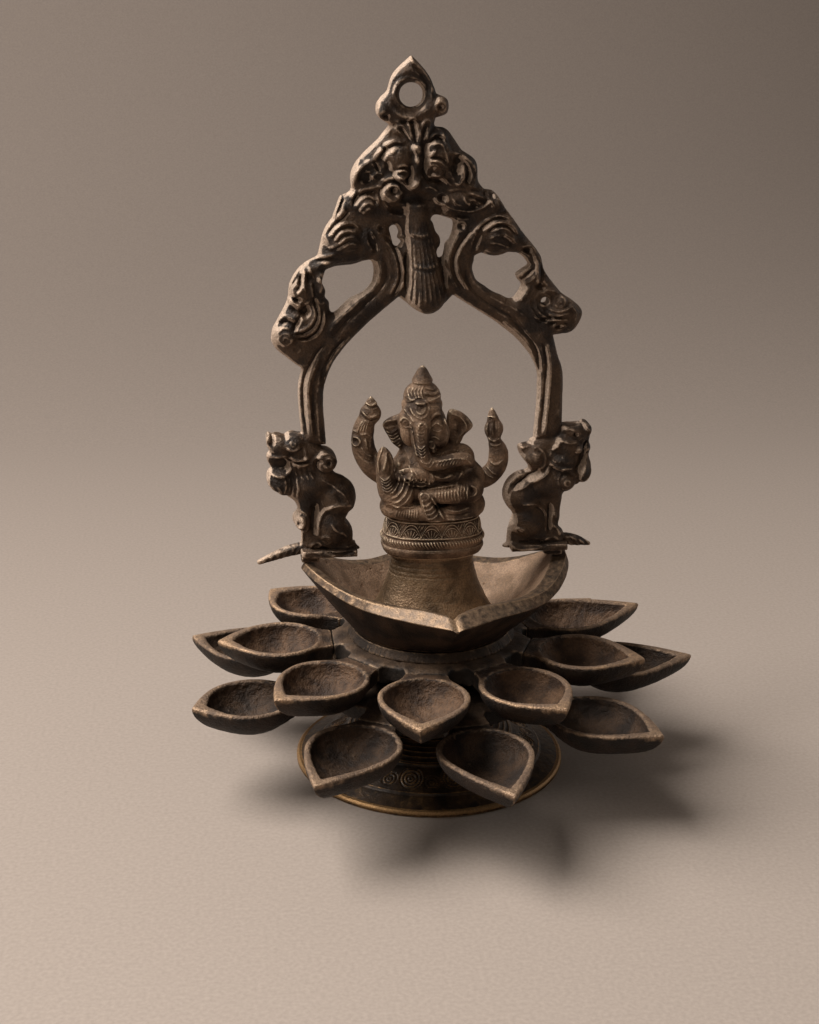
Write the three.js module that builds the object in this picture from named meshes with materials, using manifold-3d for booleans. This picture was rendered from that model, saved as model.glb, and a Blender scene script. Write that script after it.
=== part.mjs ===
// Hanging oil lamp in cast bell metal, in millimetres, +Z up.
// The origin is on the axis of the tie rod, in the plane that the foot stands on.
// The arch lies in the XZ plane and the lamp's front faces -Y.
import * as THREE from "three";
import { ParametricGeometry } from "three/addons/geometries/ParametricGeometry.js";
import { mergeVertices } from "three/addons/utils/BufferGeometryUtils.js";
import Module from "manifold-3d";

const wasm = await Module();
wasm.setup();

// Gap between two pieces that touch
const gap = 0.3;

// Tie rod, washer and nut
const rodRadius = 4;
const rodEndHeight = 1.2;
const rodClearance = 0.3;
const rodScrewLength = 18;
const washerRadius = 11;
const washerThickness = 1.8;
const nutAcrossFlats = 13;
const nutThickness = 6.5;

// Foot
const footRadius = 60;
const footHeight = 19.3;
const footLipHeight = 1.6;
const footBandRadius = 50;
const footBandHeight = 5.2;
const footRingRadius = 37;
const footRingHeight = 12.2;
const footTopRadius = 26;
const footWall = 3.2;
const footWebThickness = 5;

// Stem between the foot and the lower tier, and the spacer between the tiers
const stemHeight = 13.4;
const stemTopRadius = 25;
const stemWaistRadius = 20.5;
const spacerHeight = 6.7;
const spacerRadius = 22;
const spacerWaistRadius = 19;

// Both tiers of cups
const cupsPerTier = 9;
const tierTurn = -11.65;
const hubThickness = 9.7;
const hubEdgeThickness = 7;
const armWidth = 18;
const armDrop = 0.6;
const cupWall = 2.3;
const cupFloor = 2.2;
const cupRootWidth = 25;

// Lower tier. Each cup was finished by hand, so its reach and place differ a little.
const lowerHubRadius = 52;
const lowerArmEnd = 62;
const lowerCupRadius = 83;
const lowerCupWidth = 39;
const lowerCupReach = 37.1;
const lowerCupDepth = 15;
const lowerRimHeight = 0.5;
const lowerReachChange = [5.8, -4.2, 3.5, -2, 0, -2, -0.6, -11.8, 2.1];
const lowerPlaceChange = [-1, 0, 3, 1, 0, 0, -3, -2.7, 3];

// Upper tier
const upperHubRadius = 41;
const upperArmEnd = 43.6;
const upperCupRadius = 64;
const upperCupWidth = 38;
const upperCupReach = 32.3;
const upperCupDepth = 14.8;
const upperRimHeight = -0.6;
const upperReachChange = [1.1, 1, 0.2, 11.7, 0, 0, -3.8, -1.2, -3.2];
const upperPlaceChange = [1.75, -1.55, 0, -2.65, 0, 0, 1.25, 0, 1.35];

// Collar under the bowl
const collarRadius = 36.5;
const collarHeight = 3.7;

// Oil bowl
const bowlBaseRadius = 34;
const bowlSideSpan = 58;
const bowlFrontSpan = 60;
const bowlSideHeight = 19.8;
const bowlCornerHeight = 30.9;
const bowlFrontHeight = 22;
const bowlCornerSharpness = 1.22;
const bowlRimWidth = 4;
const bowlFloor = 3.5;
const bowlFloorRadius = 28.5;
const spoutWidth = 5;
const spoutDepth = 2.4;

// Pedestal and seat, both oval
const pedestalHeight = 29.9;
const pedestalFootHalfWidth = 27.5;
const pedestalTopHalfWidth = 18.2;
const pedestalDepthShare = 0.68;
const seatHeight = 18.2;
const seatHalfWidth = 22.5;
const seatHalfDepth = 15;

// Seated figure
const figureHeight = 64;

// Arch, its lug and the posts that carry it
const archSpan = 101;
const archHeight = 207.7;
const archThickness = 9;
const beastThickness = 11;
const footPlateDepth = 15;
const footPlateHeight = 3.4;
const hangingHoleRadius = 4.7;
const smallHoleRadius = 1.8;
const postHeight = 2.6;
const postWidth = 8;
const postDepth = 8.5;

// Heights that follow from the sizes above
const stemBase = footHeight + gap;
const lowerHubBase = stemBase + stemHeight + gap;
const spacerBase = lowerHubBase + hubThickness + gap;
const upperHubBase = spacerBase + spacerHeight + gap;
const collarBase = upperHubBase + hubThickness + gap;
const bowlBase = collarBase + collarHeight + gap;
const pedestalBase = bowlBase + bowlFloor + gap;
const seatBase = pedestalBase + pedestalHeight + gap;
const figureBase = seatBase + seatHeight + gap;
const postBase = bowlBase + bowlCornerHeight + gap;
const archBase = postBase + postHeight + gap;
const boreRadius = rodRadius + rodClearance;
const washerTop = footHeight - footWebThickness - gap;
const nutTop = washerTop - washerThickness - gap;

// Facets round each kind of piece
const roundFacets = 32;
const boreFacets = 16;
const cupFacets = 16;
const bowlFacets = 32;
const tubeFacets = 6;

const degrees = Math.PI / 180;

// A closed geometry as a solid: shared corners are merged, and slivers at a pole are dropped.
function solid(geometry) {
  const bare = geometry.index ? geometry.toNonIndexed() : geometry.clone();
  bare.deleteAttribute("normal");
  bare.deleteAttribute("uv");
  const merged = mergeVertices(bare, 1e-4);
  const corners = merged.index.array;
  const points = new Float32Array(merged.attributes.position.array);
  const faces = [];
  for (let i = 0; i < corners.length; i += 3) {
    const [a, b, c] = [corners[i], corners[i + 1], corners[i + 2]];
    if (a !== b && b !== c && c !== a) faces.push([a, b, c]);
  }
  // A surface that was drawn the other way round is turned so that its faces point out.
  const at = (i) => new THREE.Vector3().fromArray(points, 3 * i);
  const volume = faces.reduce((sum, [a, b, c]) => sum + at(a).dot(at(b).cross(at(c))), 0);
  const triVerts = new Uint32Array((volume < 0 ? faces.map((f) => f.reverse()) : faces).flat());
  return new wasm.Manifold(new wasm.Mesh({ numProp: 3, vertProperties: points, triVerts }));
}

function join(solids) {
  return solids.reduce((whole, piece) => whole.add(piece));
}

function meshOf(name, shape, material) {
  const { vertProperties, triVerts } = shape.getMesh();
  const geometry = new THREE.BufferGeometry();
  geometry.setAttribute("position", new THREE.BufferAttribute(new Float32Array(vertProperties), 3));
  geometry.setIndex(new THREE.BufferAttribute(new Uint32Array(triVerts), 1));
  geometry.computeVertexNormals();
  const mesh = new THREE.Mesh(geometry, material);
  mesh.name = name;
  return mesh;
}

// A turned solid from [radius, height] points. A profile off the axis closes on itself.
function turned(profile, facets = roundFacets) {
  const onAxis = profile[0][0] === 0 && profile[profile.length - 1][0] === 0;
  const points = (onAxis ? profile : [...profile, profile[0]]).map(([r, z]) => new THREE.Vector2(r, z));
  return solid(new THREE.LatheGeometry(points, facets).rotateX(Math.PI / 2));
}

function cylinder(radius, bottom, top, facets = boreFacets) {
  return turned([[0, bottom], [radius, bottom], [radius, top], [0, top]], facets);
}

// A ring-shaped solid: a turned outside with a straight bore for the tie rod.
function bored(outside, bottom, top) {
  const body = turned([[0, bottom], ...outside, [0, top]]);
  return body.subtract(cylinder(boreRadius, bottom - 1, top + 1));
}

function block(x, y, z) {
  const size = new THREE.BoxGeometry(x[1] - x[0], y[1] - y[0], z[1] - z[0]);
  return solid(size.translate((x[0] + x[1]) / 2, (y[0] + y[1]) / 2, (z[0] + z[1]) / 2));
}

// A surface made of stations, each a function of the angle that gives [x, y, z].
function lofted(stations, facets) {
  const place = (u, v, target) => {
    const station = stations[Math.round(v * (stations.length - 1))];
    target.set(...station(2 * Math.PI * (u === 1 ? 0 : u)));
  };
  return solid(new ParametricGeometry(place, facets, stations.length - 1));
}

function ellipsoid([x, y, z], [rx, ry, rz], facets = 9) {
  const ball = new THREE.SphereGeometry(1, facets, Math.round(facets * 0.7));
  return solid(ball.rotateX(Math.PI / 2).scale(rx, ry, rz).translate(x, y, z));
}

// A limb through [x, y, z, radius] points, with closed round ends.
function limb(knots, steps = 2 * (knots.length - 1), facets = tubeFacets) {
  const path = new THREE.CatmullRomCurve3(knots.map(([x, y, z]) => new THREE.Vector3(x, y, z)));
  const radii = new THREE.SplineCurve(knots.map((knot, i) => new THREE.Vector2(i, knot[3])));
  const frames = path.computeFrenetFrames(steps);
  const ring = (i, share) => (angle) => {
    const along = i / steps;
    const radius = share * radii.getPoint(along).y;
    const side = frames.normals[i].clone().multiplyScalar(radius * Math.cos(angle));
    side.addScaledVector(frames.binormals[i], radius * Math.sin(angle));
    return path.getPoint(along).add(side).toArray();
  };
  const cap = (i, way) => () => {
    const end = path.getPoint(i / steps);
    return end.addScaledVector(frames.tangents[i], way * 0.5 * radii.getPoint(i / steps).y).toArray();
  };
  const rings = [...Array(steps + 1).keys()].map((i) => ring(i, 1));
  return lofted([cap(0, -1), ...rings, cap(steps, 1)], facets);
}

// Foot: a lip, a plain sloping band, an engraved dome and turned rings, hollow underneath.
function footBase() {
  const inside = footHeight - footWebThickness;
  const outside = [
    [footRadius, 0],
    [footRadius, footLipHeight],
    [footRadius - 1.8, footLipHeight + 0.9],
    [footBandRadius, footBandHeight],
    [footBandRadius - 1.2, footBandHeight + 1.3],
    [footRingRadius, footRingHeight],
    [footRingRadius - 1, footRingHeight + 1.4],
    [(footRingRadius + footTopRadius) / 2, (footRingHeight + footHeight) / 2 + 0.6],
    [footTopRadius + 1, footHeight - 1.2],
    [footTopRadius, footHeight],
  ];
  const hollow = turned([
    [0, -1],
    [footRadius - footWall, -1],
    [footRadius - footWall - 0.6, footLipHeight - 0.4],
    [footBandRadius, footBandHeight - footWall],
    [footRingRadius, footRingHeight - footWall],
    [footTopRadius, inside],
    [0, inside],
  ]);
  return bored(outside, 0, footHeight).subtract(hollow);
}

function stemColumn() {
  const waist = stemBase + 0.55 * stemHeight;
  return bored([
    [footTopRadius - 0.6, stemBase],
    [footTopRadius - 0.6, stemBase + 2.2],
    [stemWaistRadius + 1.6, stemBase + 3.4],
    [stemWaistRadius, waist],
    [stemWaistRadius + 1.4, stemBase + stemHeight - 3],
    [stemTopRadius, stemBase + stemHeight - 1.8],
    [stemTopRadius, stemBase + stemHeight],
  ], stemBase, stemBase + stemHeight);
}

function tierSpacer() {
  const top = spacerBase + spacerHeight;
  return bored([
    [spacerRadius, spacerBase],
    [spacerRadius, spacerBase + 1.2],
    [spacerWaistRadius, spacerBase + spacerHeight / 2],
    [spacerRadius, top - 1.2],
    [spacerRadius, top],
  ], spacerBase, top);
}

// Everything that a tier's hub and cups share
const lowerTier = {
  name: "lower",
  base: lowerHubBase,
  hubRadius: lowerHubRadius,
  armEnd: lowerArmEnd,
  cupRadius: lowerCupRadius,
  width: lowerCupWidth,
  reach: lowerCupReach,
  depth: lowerCupDepth,
  rim: lowerHubBase + hubThickness + lowerRimHeight,
  firstCup: tierTurn + 180 / cupsPerTier,
  reachChange: lowerReachChange,
  placeChange: lowerPlaceChange,
};
const upperTier = {
  name: "upper",
  base: upperHubBase,
  hubRadius: upperHubRadius,
  armEnd: upperArmEnd,
  cupRadius: upperCupRadius,
  width: upperCupWidth,
  reach: upperCupReach,
  depth: upperCupDepth,
  rim: upperHubBase + hubThickness + upperRimHeight,
  firstCup: tierTurn,
  reachChange: upperReachChange,
  placeChange: upperPlaceChange,
};

// The angle of a cup, counted from the front towards +X
function cupAngle(tier, i) {
  const change = tier.placeChange[i % tier.placeChange.length];
  return (tier.firstCup + (360 / cupsPerTier) * i + change) * degrees;
}

// Turns a solid drawn with its cup along +X to that cup's place.
function toCupPlace(shape, tier, i) {
  return shape.rotate([0, 0, cupAngle(tier, i) / degrees - 90]);
}

function tierHub(tier) {
  const top = tier.base + hubThickness;
  const armTop = tier.rim - armDrop;
  const disc = bored([
    [0.55 * tier.hubRadius, tier.base],
    [tier.hubRadius, armTop - hubEdgeThickness],
    [tier.hubRadius, armTop],
    [0.88 * tier.hubRadius, top],
  ], tier.base, top);
  const reach = [tier.hubRadius - 8, tier.armEnd];
  const arm = block(reach, [-armWidth / 2, armWidth / 2], [armTop - hubEdgeThickness, armTop]);
  const arms = [...Array(cupsPerTier).keys()].map((i) => toCupPlace(arm, tier, i));
  return join([disc, ...arms]);
}

// Distance from a cup's centre to its rim: a round back and two straight sides that meet in a tip.
function leafRadius(angle, radius, reach) {
  const tangent = Math.acos(radius / reach);
  const turn = Math.abs(Math.atan2(Math.sin(angle), Math.cos(angle)));
  return turn < tangent ? radius / Math.cos(tangent - turn) : radius;
}

// A leaf-shaped half egg with a flat or raised lid. Its bottom rises to the tip like a keel.
function leafEgg(radius, reach, depth, lid, levels) {
  const station = (level) => (angle) => {
    const far = leafRadius(angle, radius, reach) * Math.sin(level);
    return [far * Math.cos(angle), far * Math.sin(angle), -depth * Math.cos(level)];
  };
  const wall = [...Array(levels + 1).keys()].map((i) => station((i / levels) * (Math.PI / 2)));
  const lidRing = (angle) => {
    const far = leafRadius(angle, radius, reach);
    return [far * Math.cos(angle), far * Math.sin(angle), lid];
  };
  return lofted([...wall, ...(lid > 0 ? [lidRing] : []), () => [0, 0, lid]], cupFacets);
}

function leafCup(tier, i) {
  const radius = tier.width / 2;
  const reach = tier.reach + tier.reachChange[i % tier.reachChange.length];
  const inner = (radius - cupWall) / radius;
  const outside = leafEgg(radius, reach, tier.depth, 0, 4);
  const hollow = leafEgg(inner * radius, inner * reach, tier.depth - cupFloor, 1, 3);
  const start = tier.armEnd + gap - tier.cupRadius;
  const end = -0.55 * radius;
  const root = new THREE.Shape([
    new THREE.Vector2(start, -armWidth / 2),
    new THREE.Vector2(end, -cupRootWidth / 2),
    new THREE.Vector2(end, cupRootWidth / 2),
    new THREE.Vector2(start, armWidth / 2),
  ]);
  const rootPlate = new THREE.ExtrudeGeometry(root, { depth: hubEdgeThickness, bevelEnabled: false });
  rootPlate.translate(0, 0, -armDrop - hubEdgeThickness);
  const cup = outside.add(solid(rootPlate)).subtract(hollow);
  return toCupPlace(cup.translate([tier.cupRadius, 0, tier.rim]), tier, i);
}

function bowlCollar() {
  const top = collarBase + collarHeight;
  return bored([
    [collarRadius - 1, collarBase],
    [collarRadius, collarBase + 1],
    [collarRadius, top - 1.2],
    [collarRadius - 1.2, top],
  ], collarBase, top);
}

// Oil bowl: its rim has four corners. Left and right rise to carry the arch, the front is a spout.
function oilBowl() {
  const n = bowlCornerSharpness;
  const span = (angle) => {
    const side = Math.abs(Math.cos(angle)) / bowlSideSpan;
    const front = Math.abs(Math.sin(angle)) / bowlFrontSpan;
    return (side ** n + front ** n) ** (-1 / n);
  };
  const rimHeight = (angle) =>
    bowlSideHeight +
    (bowlCornerHeight - bowlSideHeight) * Math.abs(Math.cos(angle)) ** 5 +
    (bowlFrontHeight - bowlSideHeight) * Math.abs(Math.sin(angle)) ** 6;
  const point = (angle, far, height) => [far * Math.cos(angle), far * Math.sin(angle), bowlBase + height];
  const outer = (share) => (angle) =>
    point(angle, bowlBaseRadius + (span(angle) - bowlBaseRadius) * share ** 0.92, rimHeight(angle) * share);
  const inner = (share) => (angle) => {
    const rim = span(angle) * (1 - bowlRimWidth / bowlSideSpan / 0.86);
    const far = bowlFloorRadius + (rim - bowlFloorRadius) * share ** 0.9;
    return point(angle, far, bowlFloor + (rimHeight(angle) - bowlFloor) * share);
  };
  const flat = (far, height) => (angle) => point(angle, far, height);
  const shell = lofted([
    flat(0, 0),
    outer(0),
    outer(0.25),
    outer(0.5),
    outer(0.75),
    outer(1),
    inner(1),
    inner(0.7),
    inner(0.4),
    inner(0.15),
    inner(0),
    flat(0, bowlFloor),
  ], bowlFacets);
  // The wick spout is a V-shaped groove across the front corner's rim.
  const groove = new THREE.Shape([
    new THREE.Vector2(-spoutWidth / 2, 1),
    new THREE.Vector2(0, -spoutDepth),
    new THREE.Vector2(spoutWidth / 2, 1),
  ]);
  const cut = new THREE.ExtrudeGeometry(groove, { depth: 14, bevelEnabled: false });
  cut.rotateX(Math.PI / 2).translate(0, 14 - bowlFrontSpan - 1, bowlBase + bowlFrontHeight);
  return shell.subtract(solid(cut)).subtract(cylinder(boreRadius, bowlBase - 1, pedestalBase));
}

// Pedestal: an oval flared cone with a blind hole for the rod.
function figurePedestal() {
  const flare = pedestalFootHalfWidth - pedestalTopHalfWidth;
  const station = (share) => (angle) => {
    const far = pedestalTopHalfWidth + flare * (1 - share) ** 2.2;
    const depth = pedestalDepthShare * far;
    return [far * Math.cos(angle), depth * Math.sin(angle), pedestalBase + share * pedestalHeight];
  };
  const shell = lofted([
    () => [0, 0, pedestalBase],
    ...[0, 0.12, 0.28, 0.5, 0.75, 1].map(station),
    () => [0, 0, pedestalBase + pedestalHeight],
  ], 28);
  return shell.subtract(cylinder(boreRadius, pedestalBase - 1, pedestalBase + rodScrewLength + gap));
}

// Seat: plain roll, rope moulding, engraved lotus band, in an oval with full corners.
function figureSeat() {
  const outline = (angle) => {
    const x = Math.abs(Math.cos(angle)) / seatHalfWidth;
    const y = Math.abs(Math.sin(angle)) / seatHalfDepth;
    return (x ** 2.5 + y ** 2.5) ** (-1 / 2.5);
  };
  const station = ([share, height]) => (angle) => {
    const far = share * outline(angle);
    return [far * Math.cos(angle), far * Math.sin(angle), seatBase + height * seatHeight];
  };
  const profile = [[0.8, 0], [0.93, 0.1], [1, 0.3], [0.99, 0.45], [0.96, 0.58], [0.92, 0.8], [0.84, 1]];
  return lofted([() => [0, 0, seatBase], ...profile.map(station), () => [0, 0, seatBase + seatHeight]], 28);
}

// Seated elephant-headed figure. It is drawn 64 high above its seat's middle, then scaled.
function seatedFigure() {
  const lumps = [
    { at: [0, 0, 3], size: [17, 11.5, 7] },
    { at: [-2, -3, 13.5], size: [13.5, 11, 12] },
    { at: [-2, 0, 23.5], size: [13.5, 8.5, 8] },
    { at: [-5.2, -2.5, 37.5], size: [10.5, 9.5, 10] },
    { at: [-18, 0.5, 34.5], size: [6.6, 2.8, 7] },
    { at: [8.5, 0.5, 36], size: [7.6, 2.8, 7] },
    { at: [13, -10, 12], size: [6.6, 6.4, 6.8] },
    { at: [-26.3, 1, 44.5], size: [4.2, 3.8, 5] },
    { at: [25.4, 1, 37.5], size: [3.8, 3.6, 5] },
    { at: [-21, -7.5, 25], size: [4.2, 3.6, 5] },
  ];
  const limbs = [
    [[-13, 2, 5, 6], [-18, -5, 4.6, 5.5], [-9, -11.5, 3.8, 5], [3, -12, 3.4, 4]],
    [[13, 2, 5, 6], [17, -5, 4.6, 5.5], [8, -12, 3.6, 4.6], [-1, -12.6, 3.2, 3.6]],
    [[-7, -9, 42, 5], [-7.6, -12.5, 33, 3.9], [-5, -14, 26.6, 3.4], [3, -14.4, 25.2, 3], [11.5, -12.5, 23, 2.8]],
    [[-13, 0, 24, 5], [-19, -3, 12, 4.8], [-20.5, -6, 17, 4.4], [-21, -7, 24, 3.2]],
    [[-12, 2, 23, 4.6], [-23, 1.5, 15.5, 4.2], [-34, 1, 31, 4], [-29.5, 1, 40, 3.4], [-26.6, 1, 49.5, 1.6]],
    [[11, 2, 22, 4.6], [22, 1.5, 12.5, 4.2], [31, 1, 21, 4.2], [27, 1, 30, 3.2], [24.9, 1, 43.5, 1.6]],
    [[12, 0, 22, 4.8], [17, -3, 15, 4.6], [13, -7, 11, 4.4]],
  ];
  const crown = turned([
    [0, 40], [9.2, 40], [9.4, 44], [8.6, 46], [8.2, 50], [7.2, 52.5], [5.6, 55], [3.6, 57.6], [4.1, 58.6],
    [2.4, 62], [0, 64],
  ], 14).translate([-4.8, 0, 0]);
  const whole = join([
    ...lumps.map(({ at, size }) => ellipsoid(at, size)),
    ...limbs.map((knots) => limb(knots)),
    crown,
  ]).scale(figureHeight / 64);
  const below = block([-figureHeight, figureHeight], [-figureHeight, figureHeight], [-figureHeight, 0]);
  return whole.subtract(below).translate([0, 0, figureBase]);
}

// The arch is drawn in [x, height above its foot plates] points, 101 wide between the plates'
// middles and 207.7 high, and 9 thick.
const archStretch = [archSpan / 101, archThickness / 9, archHeight / 207.7];
const archUpperOutline = [
  // left pillar's outer edge, then the beast-headed volute
  [[-56, 49], [-57.5, 66], [-57.5, 75], [-56, 82]],
  [[-56, 82], [-62.5, 87], [-67.5, 92], [-68, 98], [-62, 110], [-60.5, 117], [-55.5, 125], [-49, 129]],
  // left shoulder of the lion mask
  [[-49, 129], [-46.5, 138], [-42.5, 145], [-39.5, 153]],
  [[-39.5, 153], [-35.5, 155.5], [-35, 161.5], [-31.5, 168.5], [-24.5, 175.5], [-20, 181]],
  // left bud, then the lug with its pointed tip
  [[-20, 181], [-24.5, 184.5], [-24.5, 190], [-21, 194]],
  [[-21, 194], [-18.5, 201], [-11.2, 207.7]],
  [[-11.2, 207.7], [-4.5, 200.5], [-1, 193]],
  // right bud and the mask's right shoulder
  [[-1, 193], [3.5, 190.5], [3.5, 185.5], [-1, 183.5]],
  [[-1, 183.5], [-1.5, 180.5], [3.5, 179], [9.5, 171]],
  [[9.5, 171], [15.5, 166.5], [16.5, 159], [19, 155.5]],
  [[19, 155.5], [23, 154.5], [27, 149], [34, 139.5]],
  // right volute and the right pillar's outer edge
  [[34, 139.5], [43, 129], [45.5, 121.5], [53, 112]],
  [[53, 112], [60.5, 107], [62, 102.5], [58, 96], [50, 94.5]],
  [[50, 94.5], [52.5, 85.5], [55, 76], [55.5, 49]],
];
const pillarFeet = [[[55.5, 49], [43, 49]], [[-46, 49], [-56, 49]]];
const archLowerOutline = [
  // inner edges, with the beard between the scrolls
  [[43, 49], [44, 73], [42, 83], [35, 92.5], [24.5, 101], [7, 112]],
  [[7, 112], [2.5, 107.5], [-2.5, 104.5], [-8.5, 106.5], [-15.5, 111.5]],
  [[-15.5, 111.5], [-28, 101], [-39.5, 89], [-45.5, 78], [-47, 67], [-46, 49]],
];
const archHoles = [
  [[-46.5, 119], [-41.5, 123.5], [-32, 124], [-27, 126], [-26.5, 119], [-34.5, 110], [-41, 105], [-44.5, 108]],
  [[15.5, 123], [18.5, 128], [25, 127.5], [34, 128], [38.5, 124.5], [35.5, 118], [32.5, 110.5], [21.5, 114.5]],
  [[-19, 137.5], [-17, 140.5], [-14.7, 135.5], [-17, 132.5]],
  [[-1.5, 143], [4, 144], [7.3, 141], [4.5, 132.5], [1.8, 127], [2, 135]],
];
const hangingHoleAt = [-11.2, 192.6];
const smallHoleAt = [45.5, 109.5];
const leftBeast = [
  [-46, 51], [-56, 52.5], [-71, 51.5], [-65, 44], [-71, 42], [-70.5, 35], [-64.5, 30], [-57.5, 26], [-55.5, 20],
  [-60, 14], [-57.5, 9], [-57, 0], [-33, 0], [-33, 3.5], [-37.5, 14], [-33.5, 19], [-34, 27], [-43, 36], [-41, 42],
];
const rightBeast = [
  [43.5, 52], [55.5, 53.5], [68, 55], [69.5, 52], [64, 46], [69.5, 41], [69.5, 33], [62.5, 27.5], [56.5, 21],
  [56, 12], [58.5, 6], [59, 0], [34, 0], [34, 5], [37, 12.5], [31.5, 18], [32, 26], [42, 34.5], [37, 43.5],
];

function archPoint([x, height]) {
  return new THREE.Vector2(x * archStretch[0], height * archStretch[2]);
}

// Follows runs of points with one smooth curve for each run, meeting at corners.
function traced(runs, perPoint) {
  return runs.flatMap((run) => {
    const curve = new THREE.SplineCurve(run.map(archPoint));
    return curve.getPoints(Math.max(1, Math.round(perPoint * (run.length - 1)))).slice(0, -1);
  });
}

// A flat shape in the arch's plane, made into a plate of that thickness about y = 0.
function upright(shape, thickness) {
  const plate = new THREE.ExtrudeGeometry(shape, { depth: thickness, bevelEnabled: false, curveSegments: 8 });
  plate.rotateX(Math.PI / 2).translate(0, thickness / 2, archBase);
  return solid(plate);
}

function roundHole(centre, radius) {
  const at = archPoint(centre);
  return new THREE.Path().absarc(at.x, at.y, radius, 0, 2 * Math.PI, true);
}

function archFrame() {
  const outline = [...archUpperOutline, pillarFeet[0], ...archLowerOutline, pillarFeet[1]];
  const shape = new THREE.Shape(traced(outline, 1.5).reverse());
  archHoles.forEach((hole) => shape.holes.push(new THREE.Path(traced([[...hole, hole[0]]], 1.5))));
  shape.holes.push(roundHole(hangingHoleAt, hangingHoleRadius), roundHole(smallHoleAt, smallHoleRadius));
  return upright(shape, archThickness);
}

function arch() {
  const place = ([x, y, height], size) => {
    const at = archPoint([x, height]);
    return ellipsoid([at.x, y, archBase + at.y], size.map((radius, axis) => radius * archStretch[axis]));
  };
  const beast = (outline) => upright(new THREE.Shape(outline.map(archPoint)), beastThickness);
  const plate = (from, to) => {
    const x = [archPoint([from, 0]).x, archPoint([to, 0]).x];
    return block(x, [-footPlateDepth / 2, footPlateDepth / 2], [archBase, archBase + footPlateHeight]);
  };
  const strand = (knots) => limb(knots.map(([x, y, h, r]) => {
    const at = archPoint([x, h]);
    return [at.x, y, archBase + at.y, r];
  }));
  return join([
    archFrame(),
    beast(leftBeast),
    beast(rightBeast),
    plate(-57, -33),
    plate(34, 59),
    // lion mask: brow, eyes, muzzle and cheeks
    place([-8.5, 0, 167], [15, 7.6, 11]),
    place([-8, -1, 158], [11, 7.4, 7]),
    place([-8.5, 0, 177], [8, 6.4, 8]),
    place([-22, 0, 158], [9, 6.4, 9]),
    place([12, 0, 158], [9, 6.4, 8]),
    // beard between the scrolls
    strand([[-7.5, -0.5, 152, 5.5], [-6, -0.5, 136, 6.2], [-4.4, -0.5, 120, 6.6], [-3.6, -0.5, 110, 5]]),
    // volutes: upper heads and lower heads
    place([-36, 0, 134], [9, 6.2, 8]),
    place([28, 0, 137], [9.5, 6.2, 8]),
    place([-56.5, 0, 101], [9.5, 6.4, 10]),
    place([52, 0, 103.5], [8.5, 6.2, 7]),
    // beasts: head, chest, haunch and forepaw of each, and the plume along the foot plate
    place([-61, 0, 46], [8.5, 7, 5.6]),
    place([-62, 0, 35], [8, 7, 7]),
    place([-43, 0, 21], [9, 7.4, 10]),
    place([-58, 0, 15], [3.6, 6.6, 3.6]),
    strand([[-54, 0, 3.2, 2.3], [-63, 0, 1.2, 2.1], [-75, 0, -3.4, 1.1]]),
    place([60, 0, 48], [8.5, 7, 5.6]),
    place([61, 0, 36], [7.6, 7, 7.4]),
    place([42, 0, 22], [9, 7.4, 10]),
    strand([[55, 0, 3.2, 2.4], [63, 0, 2.6, 2.3], [69.5, 0, 0.6, 1]]),
  ]);
}

// Post between a corner of the bowl and a beast's foot plate
function archPost(side) {
  const outer = side * (bowlSideSpan - 0.8);
  const inner = outer - side * postWidth;
  const x = side < 0 ? [outer, inner] : [inner, outer];
  return block(x, [-postDepth / 2, postDepth / 2], [postBase, postBase + postHeight]);
}

function tieRod() {
  return cylinder(rodRadius, rodEndHeight, pedestalBase + rodScrewLength);
}

function footWasher() {
  const bottom = washerTop - washerThickness;
  return bored([[washerRadius, bottom], [washerRadius, washerTop]], bottom, washerTop);
}

function footNut() {
  const radius = nutAcrossFlats / Math.sqrt(3);
  const hexagon = cylinder(radius, nutTop - nutThickness, nutTop, 6);
  return hexagon.subtract(cylinder(boreRadius, nutTop - nutThickness - 1, nutTop + 1));
}

const bronze = () => new THREE.MeshStandardMaterial({ color: 0x5b4634, roughness: 0.5, metalness: 0.85 });
const darkBronze = () => new THREE.MeshStandardMaterial({ color: 0x46382c, roughness: 0.55, metalness: 0.85 });
const rubbedBrass = () => new THREE.MeshStandardMaterial({ color: 0x7d6440, roughness: 0.42, metalness: 0.9 });
const steel = () => new THREE.MeshStandardMaterial({ color: 0x5f5a54, roughness: 0.5, metalness: 0.9 });

const lamp = new THREE.Group();
const add = (name, shape, material) => lamp.add(meshOf(name, shape, material));

add("foot_base", footBase(), bronze());
add("stem_column", stemColumn(), bronze());
for (const tier of [lowerTier, upperTier]) {
  add(tier.name + "_tier_hub", tierHub(tier), bronze());
  for (let i = 0; i < cupsPerTier; i++) {
    add(tier.name + "_cup_" + (i + 1), leafCup(tier, i), darkBronze());
  }
}
add("tier_spacer", tierSpacer(), bronze());
add("bowl_collar", bowlCollar(), rubbedBrass());
add("oil_bowl", oilBowl(), bronze());
add("figure_pedestal", figurePedestal(), rubbedBrass());
add("figure_seat", figureSeat(), bronze());
add("seated_figure", seatedFigure(), darkBronze());
add("left_arch_post", archPost(-1), darkBronze());
add("right_arch_post", archPost(1), darkBronze());
add("arch", arch(), darkBronze());
add("tie_rod", tieRod(), steel());
add("foot_washer", footWasher(), steel());
add("foot_nut", footNut(), steel());

export default lamp;
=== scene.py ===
"""Dresses the hanging oil lamp: every cast, filed and chased surface, its light and its camera.

Sizes are in millimetres in the part's own frame: +Z up, the rod's axis at the origin, front to -Y.
"""

import logging
import math
from dataclasses import dataclass, field
from enum import Enum
from functools import partial
from typing import Any, Sequence

import bpy
import numpy as np
from mathutils import Matrix


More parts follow.
